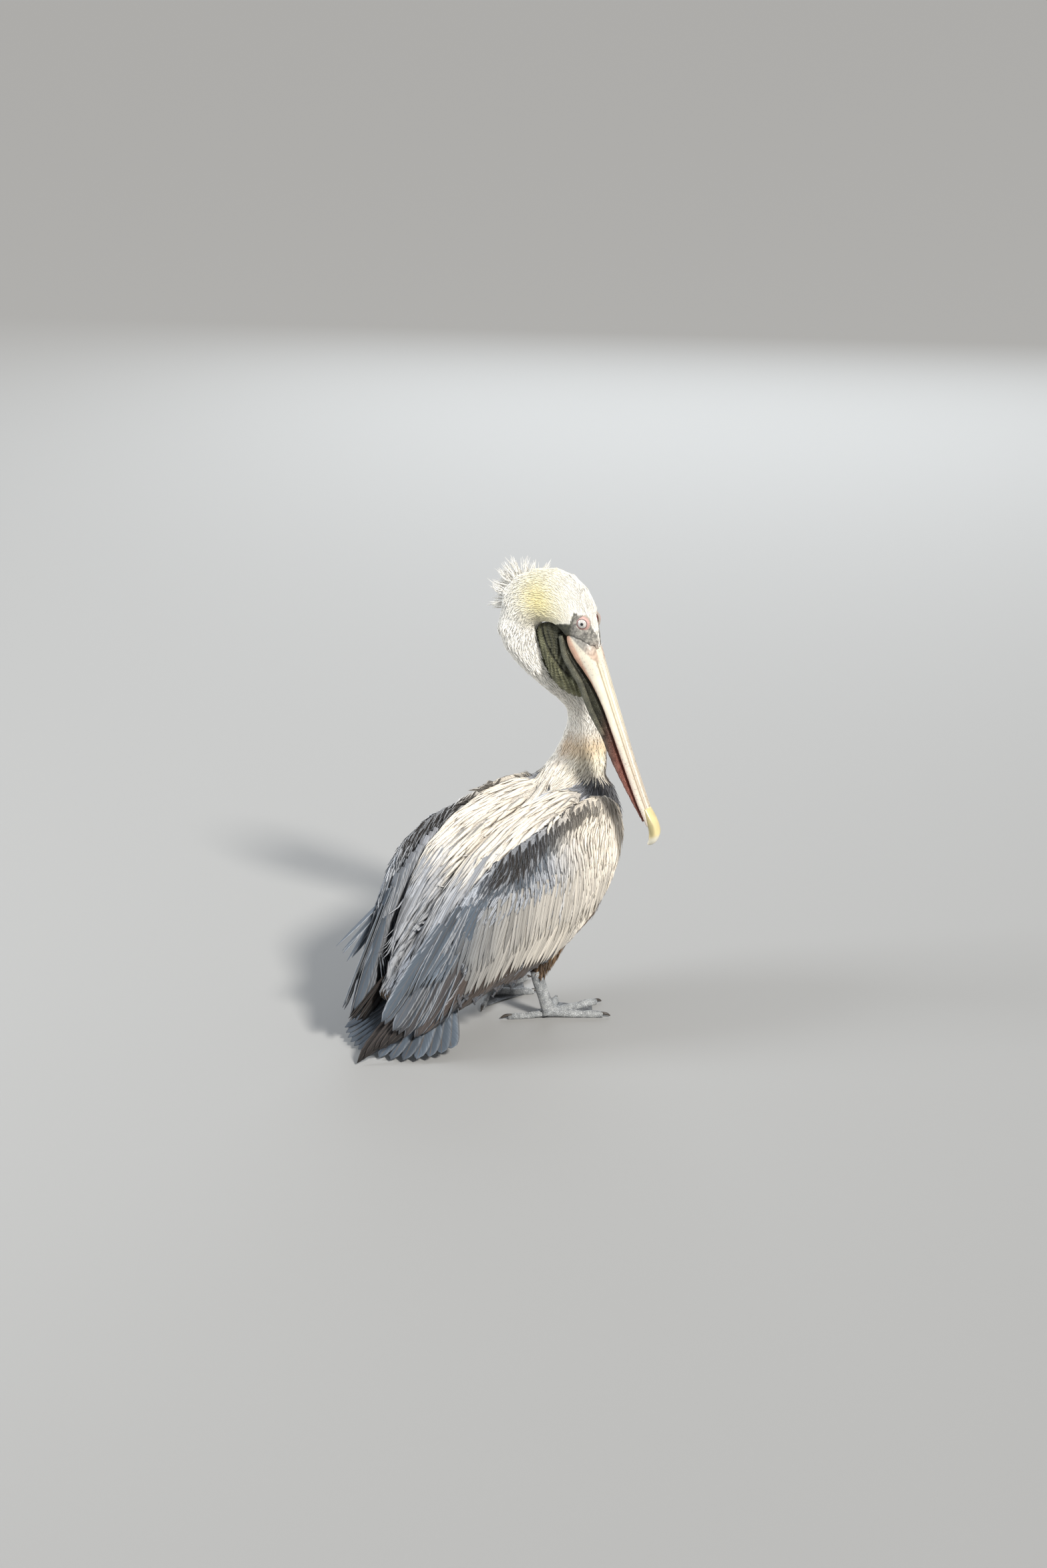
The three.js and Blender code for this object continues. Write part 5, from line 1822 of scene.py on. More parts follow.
@dataclass
class Tail:
    """The spread tail and the coverts above it."""

    base: Row3 = (-168, 2, 100)
    reach: float = 127.0
    feathers: int = 15
    spread: tuple[float, float] = (60.0, 38.0)
    width: float = 30.0
    coverts: int = 15
    seed: int = 41

    def shaft(self, share: float, steps: Array) -> Array:
        """One shaft in body millimetres, share from -1 at the right edge to 1 at the left."""
        turn = share * math.radians(self.spread[0] if share < 0 else self.spread[1])
        reach = self.reach * (1 - 0.2 * share * share if share < 0 else 1)
        base = np.array(self.base)
        root = base + (0, 20 * share, -3 * share * share)
        level = 2.5 + 14 * share * share
        tip = np.array([base[0] - reach * math.cos(turn), base[1] + reach * math.sin(turn), level])
        sag = 4 - 9 * share if share < 0 else 4
        line = root + (tip - root) * steps[:, None]
        line[:, 2] -= sag * 4 * steps * (1 - steps)
        return line

    def build(self, surface: SkinSurface, finish: Material) -> Piece:
        """Makes the fan and its coverts."""
        rng = np.random.default_rng(self.seed)
        steps = 1 - (1 - np.linspace(0, 1, 12)) ** 1.2
        shares = np.linspace(-1, 1, self.feathers)
        paths, ups = [], []
        for k, share in enumerate(shares):
            line = self.shaft(share, steps)
            line[:, 2] += 1.6 - 0.16 * abs(k - self.feathers / 2)
            line[-1, 2] = max(line[-1, 2], 1.8)
            paths.append(BODY.at(line))
            ups.append(np.tile(BODY.towards((-0.35, 0.12 * share, 1)), (len(steps), 1)))
        count = self.feathers
        halves = self.width / 2 * MM * Blade.ROUND.half_widths(steps)[None]
        halves = halves * rng.uniform(0.94, 1.06, (count, 1))
        blue = Markings.slate * 0.8 * rng.uniform(0.85, 1.1, (count, 1))
        edge = blend_to(blue, (Markings.silver, np.full(count, 0.22)))
        fan = Vanes(
            np.array(paths), np.array(ups), halves, steps, blue, edge, rng.random(count),
            np.full(count, 0.85), np.zeros((count, 2)),
        )
        above = FeatherRow(
            [(-150, -34, 128), (-146, -16, 140), (-144, 0, 144), (-146, 18, 140), (-150, 36, 128)],
            [(-196, -58, 62), (-218, -32, 70), (-226, 2, 74), (-220, 30, 68), (-206, 50, 60)],
            self.coverts, 18, (Markings.slate, Markings.slate), (Markings.silver, Markings.silver),
            lift=(0.6, 3.0), snap=20, facing=(-0.5, 0, 0.85), rings=12, seed=42,
        )
        under = FeatherRow(
            [(-140, -30, 74), (-140, 0, 68), (-140, 30, 74)],
            [(-200, -46, 40), (-214, 0, 34), (-200, 44, 40)],
            11, 18, (Markings.umber, Markings.umber), (Markings.stain, Markings.stain),
            lift=(0.6, 1.0), snap=16, facing=(-0.2, 0, -1), rings=12, seed=43,
        )
        mesher = VaneMesher(columns=5, camber=0.03, thickness=0.5 * MM, atlas=True)
        whole = fan.joined(above.build(surface)).joined(under.build(surface))
        return mesher.build("tail_feathers", whole, finish)


# -------------------- bill and face


def head_sweep(rows: Sequence, rings: int, sides: int, square: float = 2.0) -> tuple[Array, Array, Array]:
    """A sweep from rows of along, crown, half width and half height, in the head's millimetres."""
    stations = [(HEAD.at((x, 0, z)), wide, high) for x, z, wide, high in rows]
    return sweep(stations, HEAD.towards((0, 1, 0)), rings, sides, square)


def coloured(piece: Piece, finish: Material, core: Array, edge: Array, speckle: object = 0.0) -> Piece:
    """The piece with its material and the zone colours that the material reads."""
    mesh = piece.data
    count = len(mesh.vertices)
    note_colour(mesh, "core_colour", np.broadcast_to(core, (count, 3)))
    note_colour(mesh, "edge_colour", np.broadcast_to(edge, (count, 3)))
    note(mesh, "speckle", np.broadcast_to(speckle, count))
    mesh.materials.append(finish)
    return piece


@dataclass
class Bill:
    """The upper bill with its grooves and nail, and the lower jaw."""

    upper_rows: tuple = (
        (2, -24, 12, 9), (14, -22, 19.5, 17.5), (38, -17.5, 21, 19.5), (60, -14.5, 19.5, 15),
        (84, -12, 18, 10.5), (120, -11, 16, 7.2), (165, -12, 14.3, 6.6), (215, -13.2, 13.2, 6),
        (262, -13.4, 12.6, 5.2), (300, -12.5, 9.5, 5),
    )
    nail_rows: tuple = (
        (276, -10, 9, 4), (294, -9, 10.6, 6.6), (309, -10.5, 9.5, 8), (319, -17, 6.6, 6.5),
        (324, -24, 3.6, 3.8), (325, -29, 1.3, 1.5),
    )
    lower_rows: tuple = (
        (4, -43, 15, 5), (30, -43, 19, 8.5), (68, -36, 18.5, 10.5), (108, -30, 17, 11.5),
        (150, -28.5, 15, 10.5), (190, -28.5, 13.5, 8.6), (228, -26, 12.2, 6), (262, -22.5, 10.6, 4),
        (292, -19.5, 7, 2.4),
    )
    ramus_rows: tuple = (
        (6, 17, -41, 2.2, 3.5), (38, 21, -42, 3.4, 4.6), (76, 23, -32, 3.6, 4.6), (118, 22, -31, 3.2, 4.4),
        (158, 16, -29, 2.2, 3.4),
    )
    groove_outer: tuple = ((36, 12.5), (60, 10.5), (110, 8.6), (200, 7.6), (290, 6.0))
    groove_depth: float = 0.9
    rings: int = 190
    sides: int = 112

    def upper(self, finish: Material) -> Piece:
        """The upper bill: culmen plate, side plates and the grooves between them."""
        points, outward, angle = head_sweep(self.upper_rows, self.rings, self.sides, 2.5)
        along, left, _ = np.moveaxis(HEAD.local(points), -1, 0)
        left = np.abs(left)
        on_top = step_up(np.sin(angle), -0.1, 0.25)
        groove_at = self.groove(along)
        sunk = bump_at(left, groove_at, 0.9) * on_top
        sunk *= step_up(along, 30, 60) * step_up(-along, -296, -282)
        inner = 0.45 * bump_at(left, 0.42 * groove_at, 0.8) * on_top * step_up(along, 48, 80)
        plate = 0.35 * step_up(groove_at - left, 0, 1.5) * on_top * step_up(along, 40, 90)
        ripple = 0.10 * np.sin(along * 0.55 + 3 * np.sin(along * 0.13)) * (1 - on_top * 0.5)
        height = -self.groove_depth * sunk - inner + plate + ripple
        return self.paint_upper(tube("bill_plates", raised(points, outward, height)), finish)

    def groove(self, along: Array) -> Array:
        """How far the outer groove runs from the bill's middle."""
        return np.interp(along, *zip(*self.groove_outer))

    def paint_upper(self, piece: Piece, finish: Material) -> Piece:
        """Cream side plates, peach near the cutting edge, brown grooves, pale culmen."""
        along, left, crown = HEAD.local(points_of(piece.data)).T
        left = np.abs(left)
        middle = np.interp(along, [2, 38, 84, 120, 300], [-24, -17, -12, -11, -12.5])
        low, top = step_up(-(crown - middle), 0.5, 5.5), crown > middle
        groove_at = self.groove(along)
        edge = blend_to(
            srgb("EDE4D0"),
            (srgb("E0AE92"), 0.85 * low),
            (srgb("A8685C"), 0.9 * low * step_up(along, 85, 190)),
            (srgb("C9B9B0"), 0.5 * step_up(along, 130, 220) * (1 - low)),
            (srgb("8A7448"), 0.85 * (bump_at(left, groove_at, 1.1) * top * step_up(along, 34, 60))),
            (srgb("A2925F"), 0.6 * (bump_at(left, 0.42 * groove_at, 0.8) * top * step_up(along, 52, 80))),
            (srgb("F3EEE2"), 0.8 * (step_up(0.4 * groove_at - left, 0, 1.2) * top * step_up(along, 40, 70))),
        )
        border = np.interp(along, [6, 22, 43, 69], [-28, -18, -7, 3])
        fleshy = step_up(crown - border, -0.6, 1.4) * step_up(-along, -66, -50) * step_up(left, 5, 9)
        pale, dark = PlumageSkin.face_colours(along, crown)
        patchy = 0.5 + 0.5 * np.sin(along * 0.9 + 2 * np.sin(crown * 0.8))
        face = blend_to(pale, (dark, 0.5 * patchy))
        speckle = 0.25 + 0.75 * step_up(along, 120, 200) + 0.6 * step_up(-along, -85, -60)
        core, edge = blend_to(edge * 0.84, (dark, fleshy)), blend_to(edge, (face, fleshy))
        return coloured(piece, finish, core, edge, speckle)

    def nail(self, finish: Material) -> Piece:
        """The hooked nail."""
        points, outward, _ = head_sweep(self.nail_rows, 48, 56)
        local = HEAD.local(points)
        flute = 0.25 * bump_at(np.abs(local[..., 1]), 5.5, 1.2) * step_up(-local[..., 0], -312, -290)
        piece = tube("bill_hook", raised(points, outward, -flute))
        along, left, crown = HEAD.local(points_of(piece.data)).T
        olive = srgb("6F6A4C")
        edge = blend_to(
            srgb("E6D6A0"),
            (olive, 0.8 * step_up(-crown, 12, 18) * step_up(-along, -318, -300)),
            (olive, 0.55 * step_up(np.abs(left), 6.5, 9.5)),
            (srgb("F4EFDB"), step_up(along, 314, 322)),
        )
        return coloured(piece, finish, edge * 0.78, edge)

    def lower(self, finish: Material) -> Piece:
        """The lower jaw and its two rods, under the pouch's dark skin; the jaw body is painted darker than
        the rods, partly as painted shade under the upper bill.
        """
        points, outward, _ = head_sweep(self.lower_rows, 130, 72, 2.3)
        along, left, crown = np.moveaxis(HEAD.local(points), -1, 0)
        ripple = np.sin(along * 0.5 + 0.32 * crown + 1.5 * np.sin(0.23 * along + 0.5 * left))
        fine = np.sin(along * 1.3 - 0.7 * crown)
        body = tube("jaw_body", raised(points, outward, 0.28 * ripple + 0.12 * fine))
        # Olive-black jaw body: partly its own dark skin, partly painted shade where the upper bill shadows
        # it; the rods get a paler copy of the same skin, as the lit part.
        pieces = [self.paint_lower(body, finish, srgb("23241C"), srgb("4A4B3B"))]
        for hand in Hand:
            rows = [(HEAD.at((x, hand.value * y, z)), w, h) for x, y, z, w, h in self.ramus_rows]
            rod = tube(f"jaw_rod_{hand.word}", sweep(rows, HEAD.towards((0, 1, 0)), 90, 24)[0])
            pieces.append(self.paint_lower(rod, finish, srgb("55564A"), srgb("83826F")))
        return join_pieces(pieces, "jaw_skin")

    @staticmethod
    def paint_lower(piece: Piece, finish: Material, deep: Array, olive: Array) -> Piece:
        """Olive skin in the given deep and pale colours, worn to a dull red towards the tip."""
        along, _, crown = HEAD.local(points_of(piece.data)).T
        worn = step_up(along + 2 * (crown + 28), 130, 235)
        core = blend_to(deep, (srgb("8A4C40"), 0.8 * worn))
        return coloured(piece, finish, core, blend_to(olive, (srgb("C07C6C"), 0.85 * worn)))


def join_pieces(pieces: Sequence[Piece], name: str) -> Piece:
    """One object from several, keeping their attributes."""
    bpy.ops.object.select_all(action="DESELECT")
    for piece in pieces:
        piece.select_set(True)
    bpy.context.view_layer.objects.active = pieces[0]
    bpy.ops.object.join()
    whole = bpy.context.view_layer.objects.active
    whole.name = name
    whole.data.name = name
    whole.select_set(False)
    return whole


@dataclass
class Pouch:
    """The wrinkled throat pouch."""

    rows: tuple = (
        (-17, -62, 9, 13), (-8, -63, 17, 21), (16, -65, 19.5, 23.5), (42, -65, 19.5, 23.5),
        (62, -62, 17.5, 23), (79, -52, 14, 19), (95, -40, 9, 9),
    )
    fold: tuple = ((-8, -68), (80, -42))
    rings: int = 200
    sides: int = 150

    def fold_line(self, along: Array) -> Array:
        """How high the deep fold runs, in the head's millimetres."""
        (x0, z0), (x1, z1) = self.fold
        line = z0 + (along - x0) * (z1 - z0) / (x1 - x0)
        return line - 7 * np.sin(np.clip((along - x0) / (x1 - x0), 0, 1) * math.pi)

    def build(self, finish: Material) -> Piece:
        """Makes the pouch."""
        points, outward, _ = head_sweep(self.rows, self.rings, self.sides)
        along, left, crown = np.moveaxis(HEAD.local(points), -1, 0)
        bent = self.fold_line(along)
        flank = step_up(np.abs(left), 6, 14)
        deep = -1.5 * bump_at(crown, bent, 1.8) * flank * step_up(-along, -84, -60)
        swell = 0.8 * np.exp(-(((crown - bent + 5) / 3.5) ** 2)) * flank
        drift = 2.2 * np.sin(0.09 * along + 0.05 * crown) + 1.2 * np.sin(0.21 * crown - 0.1 * along)
        folds = 0.45 * np.sin(0.75 * (crown + 0.35 * along) + drift)
        cross = 0.22 * np.sin(1.5 * (along - 0.4 * crown) + 1.4 * np.sin(0.3 * crown))
        seam = 0.6 * bump_at(left, 0.0, 2.0)
        height = 1.25 * deep + swell + 2.3 * folds + 2.5 * cross + seam - 0.6
        piece = tube("pouch_skin", raised(points, outward, height))
        along, _, crown = HEAD.local(points_of(piece.data)).T
        # Above the deep fold the skin turns much darker, and the crease colour darkens the fold line itself:
        # partly the pouch's own darker skin, partly painted shade under the jaw and in the fold.
        rise = self.fold_line(along)
        over = 0.85 * step_up(crown - rise, -3, 9)
        crease = (srgb("15150F"), 0.9 * (bump_at(crown, rise, 2.6) * step_up(-along, -84, -60)))
        core = blend_to(srgb("6C6C50"), (srgb("26261D"), over), crease)
        return coloured(piece, finish, core, blend_to(srgb("A3A27E"), (srgb("4B4B3D"), over), crease))


@dataclass
class Eye:
    """An eyeball and the fleshy lids around it."""

    hand: Hand
    centre: Row3 = (-2, 14.8, 0.8)
    radius: float = 9.2
    axis: Row3 = (0.12, 0.93, 0.34)
    lid_inner: float = 6.8
    lid_outer: float = 12.2
    rings: int = 26
    sides: int = 120

    def frame(self) -> tuple[Array, Array, Array, Array]:
        """The ball's centre and three axes, in the head's millimetres."""
        h = self.hand.value
        centre = np.array(self.centre) * (1, h, 1)
        out = unit(np.array(self.axis) * (1, h, 1))
        ahead = unit(np.array([1.0, 0, 0]) - out[0] * out)
        return centre, out, ahead, np.cross(out, ahead)

    def ball(self, finish: Material) -> Piece:
        """The ball with a slightly raised clear front."""
        centre, out, ahead, high = self.frame()
        polar = np.linspace(0.002, math.pi - 0.002, 60)[:, None]
        turn = np.linspace(0, 2 * math.pi, 72, endpoint=False)[None]
        bulge = 1 + 0.05 * np.exp(-((np.sin(polar) * self.radius / 5.5) ** 2)) * (polar < 1.4)
        reach = (self.radius - 0.05) * bulge
        rings = centre + reach[..., None] * (
            np.cos(polar)[..., None] * out
            + np.sin(polar)[..., None] * (np.cos(turn)[..., None] * ahead + np.sin(turn)[..., None] * high)
        )
        piece = tube(f"eyeball_{self.hand.word}", HEAD.at(rings))
        local = HEAD.local(points_of(piece.data)) - centre
        depth = local @ out
        away = np.linalg.norm(local - depth[:, None] * out, axis=1)
        note(piece.data, "from_axis", np.where(depth > 0, away, 12.0))
        note(piece.data, "around", np.arctan2(local @ high, local @ ahead) / math.pi)
        piece.data.materials.append(finish)
        return piece

    def lids(self, finish: Material) -> Piece:
        """A wrinkled fleshy ring on the ball."""
        centre, out, ahead, high = self.frame()
        turn = np.linspace(0, 2 * math.pi, self.sides, endpoint=False)
        share = np.linspace(0, 1, self.rings)
        rows = []
        for s in share:
            radius = self.lid_inner + (self.lid_outer - self.lid_inner) * s
            oval = radius * (1 + 0.03 * np.cos(2 * turn))
            wrinkle = 0.16 * math.sin(s * math.pi) * np.sin(22 * turn + 5 * s) + 0.22 * math.sin(s * 9.5)
            depth = math.sqrt(max(self.radius**2 - min(radius, 8.4) ** 2, 0)) - max(0, radius - 8.4) * 0.5
            lift = depth + 0.75 + 0.75 * math.sin(min(s * 1.2, 1) * math.pi) ** 0.8 + wrinkle
            lift = lift - 1.6 * (s > 0.98)
            flat = np.cos(turn)[:, None] * ahead + np.sin(turn)[:, None] * high
            rows.append(centre + oval[:, None] * flat + np.asarray(lift)[:, None] * out)
        rows.append(centre + (self.lid_outer * 0.9) * flat)
        rows.append(centre + self.lid_inner * 0.94 * flat + 2.0 * out)
        rings = HEAD.at(np.array(rows))
        faces = grid_faces(len(rings), self.sides, around=1)
        piece = closed_object(f"eyelids_{self.hand.word}", rings.reshape(-1, 3), faces)
        local = HEAD.local(points_of(piece.data)) - centre
        away = np.linalg.norm(local - (local @ out)[:, None] * out, axis=1)
        angle = np.arctan2(local[:, 2], local[:, 0])
        shade = step_up(-angle, 0.9, 2.0) * (angle < 0) + (angle > 2.6) * 0.6
        edge = blend_to(
            srgb("E6BDB6"),
            (srgb("DBA694"), 0.7 * step_up(away, 8.5, 10.5)),
            (srgb("8C7C92"), 0.35 * shade * step_up(away, 8, 9.5)),
            (srgb("6D3A35"), step_up(-away, -7.6, -7.0)),
            (srgb("B9B5AB"), 0.8 * step_up(away, 9.8, 11.0)),
        )
        return coloured(piece, finish, edge * 0.72, edge)


# -------------------- feet


@dataclass(frozen=True)
class Toe:
    """One toe, by its length, its turn off straight ahead in degrees and its half thickness."""

    name: str
    length: float
    turn: float
    thick: float


@dataclass
class Leg:
    """A scaly shank, four webbed toes and their claws."""

    hand: Hand
    ankle: tuple[float, float] = (-1.0, 62.0)
    sole: float = 0.78
    arch: float = 4.0
    toes: tuple[Toe, ...] = (
        Toe("outer", 80, 45, 6.0), Toe("middle", 90, 6, 6.2), Toe("inner", 70, -36, 5.8),
        Toe("hind", 62, -143, 4.8),
    )
    shank_rows: tuple = (
        (-22, 57.5, 76, 7.6, 10), (-18, 58, 60, 7.4, 10), (-11, 60, 38, 7, 9.4), (-4, 61.5, 18, 7.8, 10.6),
        (-1, 62, 8, 8.4, 11.4),
    )
    scute_gap: float = 3.4

    def direction(self, toe: Toe) -> Array:
        """The toe's way over the floor, as forward, left and up."""
        turn = math.radians(toe.turn)
        return np.array([math.cos(turn), self.hand.value * math.sin(turn), 0.0])

    def along(self, toe: Toe, reach: float) -> Array:
        """A floor point along a toe."""
        return np.array([self.ankle[0], self.hand.value * self.ankle[1], 0.0]) + self.direction(toe) * reach

    def shank(self) -> Piece:
        """The shank with its ringed front."""
        h = self.hand.value
        stations = [(BODY.at((f, h * l, u)), w, t) for f, l, u, w, t in self.shank_rows]
        points, outward, _ = sweep(stations, BODY.towards((0, 1, 0)), 110, 48)
        front = step_up(outward @ BODY.towards((1, 0, 0.2)), 0.1, 0.7)
        height = 0.45 * front * self.scutes(BODY.local(points)[..., 2])
        return tube(f"shank_{self.hand.word}", raised(points, outward, height))

    def scutes(self, reach: Array) -> Array:
        """The rise and fall of the horny rings along a shank or toe."""
        return np.abs(np.sin(reach * math.pi / self.scute_gap)) ** 0.5 - 0.75

    def toe_body(self, toe: Toe) -> Piece:
        """One toe with knuckles, ringed above and flat below."""
        knuckles = (1.25, 1.0, 1.02, 0.86, 0.96, 0.72)
        stations = []
        for i, k in enumerate(knuckles):
            t = i / (len(knuckles) - 1)
            point = self.along(toe, t * (toe.length - 3))
            radius = toe.thick * k
            point[2] = radius * self.sole + (1 - t) ** 3 * self.arch
            stations.append((BODY.at(point), radius, radius * (1.3 if i == 0 else 1.0)))
        way = self.direction(toe)
        flank = BODY.towards((-way[1], way[0], 0))
        points, outward, _ = sweep(stations, flank, 96, 36)
        reach = (BODY.local(points) - self.along(toe, 0)) @ way
        above = step_up(outward[..., 2], 0.0, 0.6)
        points = raised(points, outward, 0.4 * above * self.scutes(reach))
        points[..., 2] = np.maximum(points[..., 2], 0.0)
        return tube(f"toe_{toe.name}_{self.hand.word}", points)

    def web(self, first: Toe, second: Toe, drawn: float) -> Piece:
        """The skin between two toes, thin and drawn in at its free edge."""
        heel = self.along(self.toes[1], -4)
        tips = [self.along(toe, toe.length - 10) for toe in (first, second)]
        middle = (tips[0] + tips[1]) / 2
        middle = middle + (heel - middle) * drawn
        steps, sides = 26, 25
        across = np.linspace(0, 1, sides)[:, None]
        free = (1 - across) ** 2 * tips[0] + 2 * across * (1 - across) * middle + across**2 * tips[1]
        reach = np.linspace(0.04, 1, steps)[:, None, None]
        sheet = heel + (free - heel) * reach
        sag = np.sin(across[:, 0] * math.pi)[None] * reach[..., 0]
        pleat = 0.28 * np.sin(across[:, 0] * 40)[None] * sag
        sheet[..., 2] = 1.9 - 0.5 * sag + pleat
        top, bottom = sheet.copy(), sheet.copy()
        bottom[..., 2] -= 0.9
        rim = np.concatenate([top, bottom[:, ::-1]], axis=1)
        return tube(f"web_{first.name}_{self.hand.word}", BODY.at(rim))

    def claw(self, toe: Toe, finish: Material) -> Piece:
        """A short curved claw."""
        rows = ((-5, 2.6, 2.4, 2.2), (2, 2.3, 2.3, 2.4), (6.8, 1.7, 1.9, 1.4), (11, 0.7, 0.8, 0.1))
        stations = []
        for reach, wide, high, lift in rows:
            point = self.along(toe, toe.length + reach - 3)
            point[2] = 1.2 + high + lift
            stations.append((BODY.at(point), wide, high))
        way = self.direction(toe)
        points, _, _ = sweep(stations, BODY.towards((-way[1], way[0], 0)), 26, 24)
        piece = tube(f"nail_{toe.name}_{self.hand.word}", points)
        return coloured(piece, finish, srgb("2A2724"), srgb("4A443E"))

    def build(self, finish: Material) -> Piece:
        """Joins shank, toes and webs into one piece of scaly skin."""
        scaly = [self.shank(), *(self.toe_body(toe) for toe in self.toes)]
        outer, middle, inner, hind = self.toes
        webs = [self.web(outer, middle, 0.16), self.web(middle, inner, 0.16), self.web(inner, hind, 0.34)]
        # The webs get a darker copy of the leg skin than shank and toes: partly their own darker skin,
        # partly painted shade between the toes.
        for pieces, deep, pale in ((scaly, "7F8387", "BFC2C3"), (webs, "565A5F", "8A8E93")):
            for piece in pieces:
                coloured(piece, finish, srgb(deep), srgb(pale), 0.4)
        return join_pieces([*scaly, *webs], f"leg_skin_{self.hand.word}")


# -------------------- stage


@dataclass(frozen=True)
class Stage:
    """Floor, soft studio light and the camera."""

    eye: Row3 = (-4.2201, 4.1663, 2.2189)
    look: Row3 = (0.6748, -0.6748, -0.2990)
    lens: float = 101.55
    key_from: Row3 = (-3.8, 1.0, 3.3)
    fill_from: Row3 = (2.6, -3.4, 1.8)
    rim_from: Row3 = (2.4, 2.6, 2.4)
    key_power: float = 4.2
    fill_power: float = 60.0
    rim_power: float = 100.0
    sky_power: float = 0.42
    half_floor: float = 30.0

    def build(self) -> None:
        """Sets the stage."""
        self.floor()
        self.light("key", "SUN", self.key_from, self.key_power, math.radians(9), (1.0, 0.965, 0.91))
        self.light("fill", "AREA", self.fill_from, self.fill_power, 2.6, (0.86, 0.93, 1.0))
        self.light("rim", "AREA", self.rim_from, self.rim_power, 1.8, (0.92, 0.96, 1.0))
        scene = bpy.context.scene
        scene.world = bpy.data.worlds.new("studio")
        scene.world.use_nodes = True
        sky = scene.world.node_tree.nodes["Background"]
        sky.inputs[0].default_value = (0.78, 0.80, 0.84, 1)
        sky.inputs[1].default_value = self.sky_power
        scene.view_settings.view_transform = "Standard"
        scene.view_settings.look = "None"
        self.camera()

    def floor(self) -> None:
        """A wide grey floor."""
        material, nodes, shader = new_material("studio_floor")
        nodes.fill(shader, base_color=(0.36, 0.36, 0.355, 1), roughness=0.8)
        wide = self.half_floor
        corners = [(-wide, -wide, 0), (wide, -wide, 0), (wide, wide, 0), (-wide, wide, 0)]
        piece = new_object("floor", corners, [(0, 1, 2, 3)], smooth=False)
        piece.data.materials.append(material)

    @staticmethod
    def light(name: str, kind: str, place: Row3, power: float, size: float, colour: Row3) -> None:
        """One soft lamp that points at the bird, with its size in metres or its angle in radians."""
        lamp = bpy.data.lights.new(name, kind)
        lamp.energy = power
        if kind == "SUN":
            lamp.angle = size
        else:
            lamp.size = size
        lamp.color = colour
        Stage.aimed(linked(name, lamp), place, Vector((0, 0, 0.32)) - Vector(place))

    @staticmethod
    def aimed(holder: Piece, place: Row3, way: Vector) -> None:
        """Stands a lamp or camera in its place and turns it a given way."""
        holder.location = place
        holder.rotation_euler = way.to_track_quat("-Z", "Y").to_euler()

    def camera(self) -> None:
        """The camera of the matching view."""
        data = bpy.data.cameras.new("camera")
        data.lens = self.lens
        data.sensor_fit = "VERTICAL"
        data.sensor_height = 36.0
        data.clip_end = 100.0
        holder = linked("camera", data)
        self.aimed(holder, self.eye, Vector(self.look))
        bpy.context.scene.camera = holder


# -------------------- bird


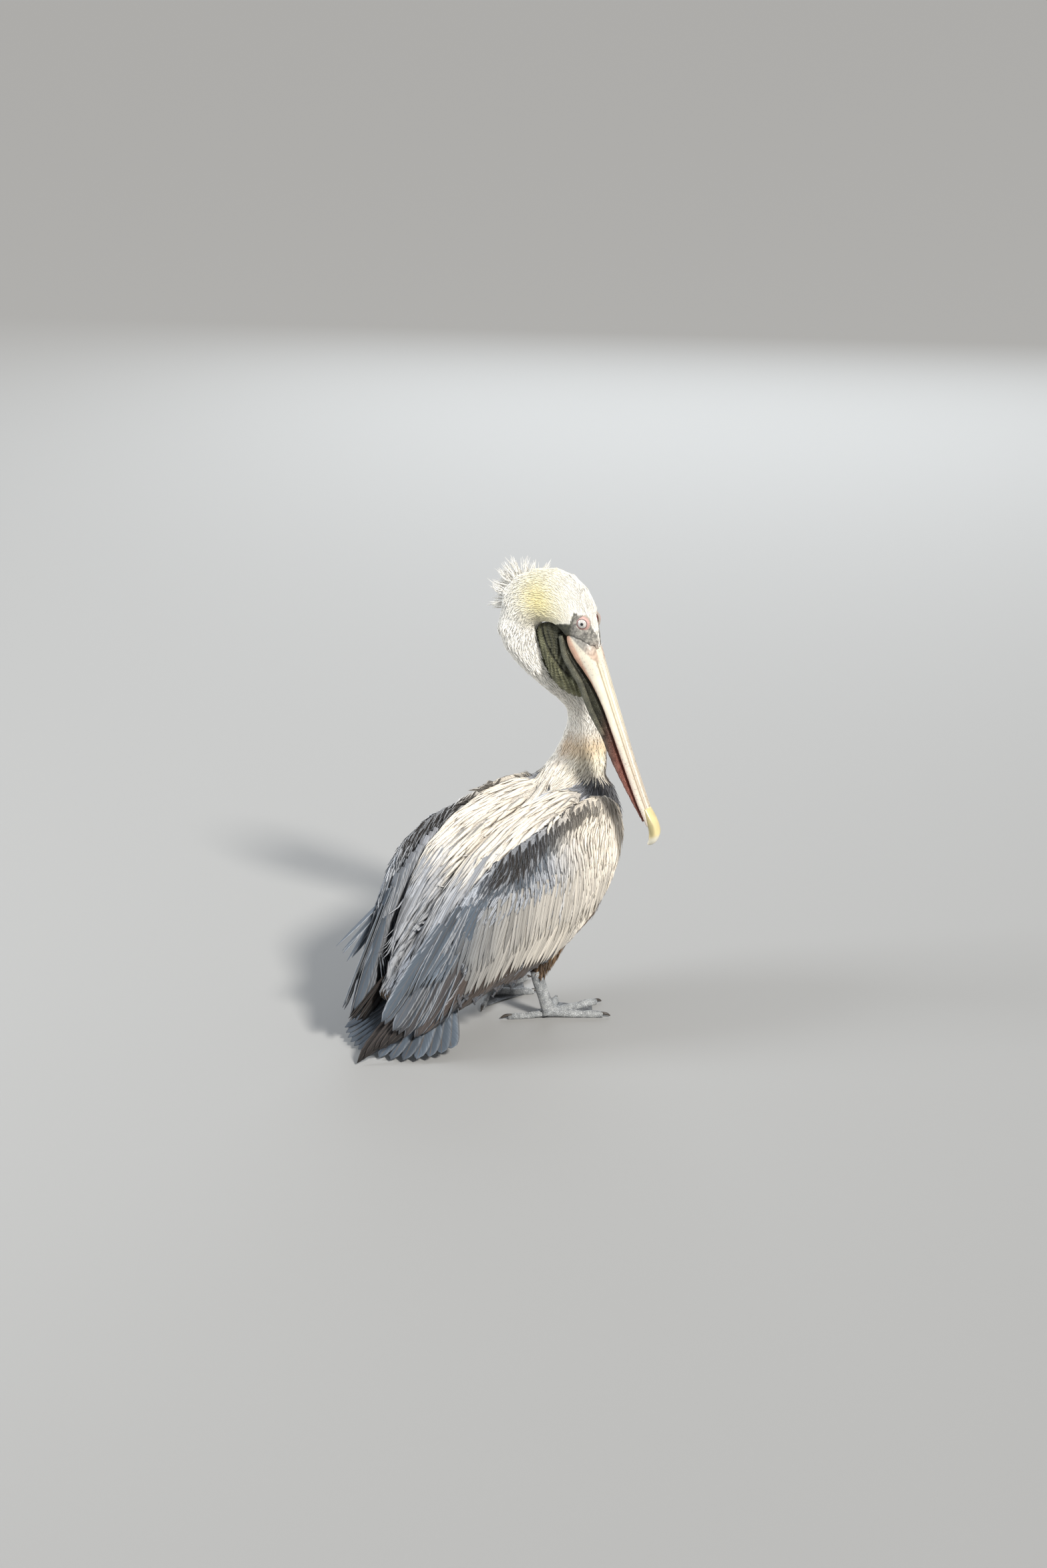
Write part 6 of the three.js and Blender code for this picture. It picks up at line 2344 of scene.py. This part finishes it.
@dataclass
class Pelican:
    """The whole dressed bird."""

    nodes: dict

    def dress(self) -> None:
        """Builds and registers every piece."""
        effects = SharedEffects()
        flow = Flow()
        skin_maker = PlumageSkin(self.nodes)
        skin = skin_maker.build(flow, UnderSkinFinish().build(effects))
        self.mark_down(skin, skin_maker)
        surface = SkinSurface(skin, skin_maker.labels, skin_maker.bare)
        self.register(skin, "brown_plumage", *PlumageSkin.fused)
        for piece in BodyPlumage().build(surface, flow, effects):
            slot = "brown_plumage" if piece.name == "breast_feathers" else "silver_plumage"
            self.register(piece, slot)
        down = PlumageFinish("down", core_from=0.0, core_to=0.5, barb_count=40.0, contrast=0.25, sheen=0.3)
        soft = down.build(effects)
        for coat in (
            DownCoat("head_down", "down_head", 8.0 * MM, 1.7 * MM, 1.5 * MM),
            DownCoat("neck_down", "down_neck", 9.5 * MM, 2.0 * MM, 1.75 * MM, seed=9),
        ):
            self.register(coat.build(skin, soft), "white_plumage")
        self.register(NapeCrest().build(surface, soft), "crest_plumage", "crest")
        # The quills carry a strong painted shadow along their edges, for the shade between overlapping
        # quills.
        quill = PlumageFinish("quill_plumage", barb_count=420.0, core_from=0.84, core_to=1.14, parting=0.7)
        stiff = quill.build(effects)
        for hand in Hand:
            wing = FoldedWing(hand).build(surface, stiff)
            self.register(wing, "flight_feathers", f"wing_{hand.word}_primaries")
        self.register(Tail().build(surface, stiff), "flight_feathers", "tail")
        self.dress_head(effects)
        self.dress_legs(effects)

    @staticmethod
    def mark_down(skin: Piece, maker: PlumageSkin) -> None:
        """Where the soft down grows on the skin and how long it is."""
        mesh = skin.data
        sites = Sites(points_of(mesh), normals_of(mesh), maker.labels)
        up = sites.up
        wanted = sites.on("head", "neck") * (1 - maker.bare) * step_up(up, 340, 366)
        along, _, crown = sites.head.T
        near_face = bump_at(along, 0, 26) * bump_at(crown, -20, 45) * sites.on("head")
        note(mesh, "down_head", wanted * sites.on("head"))
        note(mesh, "down_neck", wanted * sites.on("neck"))
        note(mesh, "down_size", 1.0 - 0.5 * near_face + 0.6 * step_up(-up, -400, -350))

    def dress_head(self, effects: SharedEffects) -> None:
        """Bill, pouch, eyes and lids."""
        horn = SkinFinish(
            "bill_horn", 900.0, 0.1, 0.4, depth=0.15, relief=0.0002, roughness=0.4, crease=0.08,
            mottle_scale=55.0, speckle=0.45, coat=0.15,
        )
        nail = SkinFinish(
            "nail_horn", 700.0, 0.1, depth=0.1, relief=0.0002, roughness=0.35, crease=0.05,
            mottle_scale=60.0, coat=0.25,
        )
        olive = SkinFinish(
            "olive_skin", 560.0, 0.3, depth=1.0, relief=0.001, roughness=0.5, crease=0.6, mottle_scale=70.0
        )
        lid = SkinFinish(
            "lid_skin", 900.0, 0.3, depth=0.6, relief=0.0004, roughness=0.45, crease=0.2, mottle_scale=160.0
        )
        bill = Bill()
        self.register(bill.upper(horn.build(effects)), "bill_horn", "bill_upper")
        self.register(bill.nail(nail.build(effects)), "nail_horn", "bill_nail")
        skin = olive.build(effects)
        self.register(bill.lower(skin), "olive_skin", "bill_lower")
        self.register(Pouch().build(skin), "olive_skin", "pouch")
        wet, fleshy = EyeFinish().build(), lid.build(effects)
        for hand in Hand:
            eye = Eye(hand)
            self.register(eye.ball(wet), "eye", f"eye_{hand.word}")
            self.register(eye.lids(fleshy), "olive_skin")

    def dress_legs(self, effects: SharedEffects) -> None:
        """Shanks, toes, webs and claws."""
        scaly = SkinFinish(
            "leg_scales", 420.0, 0.25, depth=0.8, relief=0.0006, roughness=0.55, crease=0.55,
            mottle_scale=110.0, speckle=0.3,
        ).build(effects)
        horn = SkinFinish(
            "claw_horn", 700.0, 0.1, depth=0.1, relief=0.0002, roughness=0.4, crease=0.05, mottle_scale=200.0
        ).build(effects)
        for hand in Hand:
            leg = Leg(hand)
            self.register(leg.build(scaly), "leg_skin", f"tarsus_{hand.word}", f"foot_{hand.word}")
            for toe in leg.toes:
                self.register(leg.claw(toe, horn), "claw_horn", f"claw_{hand.word}_{toe.name}")

    @staticmethod
    def register(piece: Piece, slot: str, *replaced: str) -> None:
        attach(piece, "root")
        if replaced:
            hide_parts(*replaced)
        piece.data.calc_loop_triangles()
        LOG.info("%s: %d triangles", piece.name, len(piece.data.loop_triangles))


def main() -> None:
    """Builds the dressed bird on its stage."""
    logging.basicConfig(level=logging.INFO, format="%(name)s %(message)s")
    for leftover in list(bpy.data.objects):
        bpy.data.objects.remove(leftover)
    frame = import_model()
    Pelican(frame["nodes"]).dress()
    Stage().build()


if __name__ == "__main__":
    main()
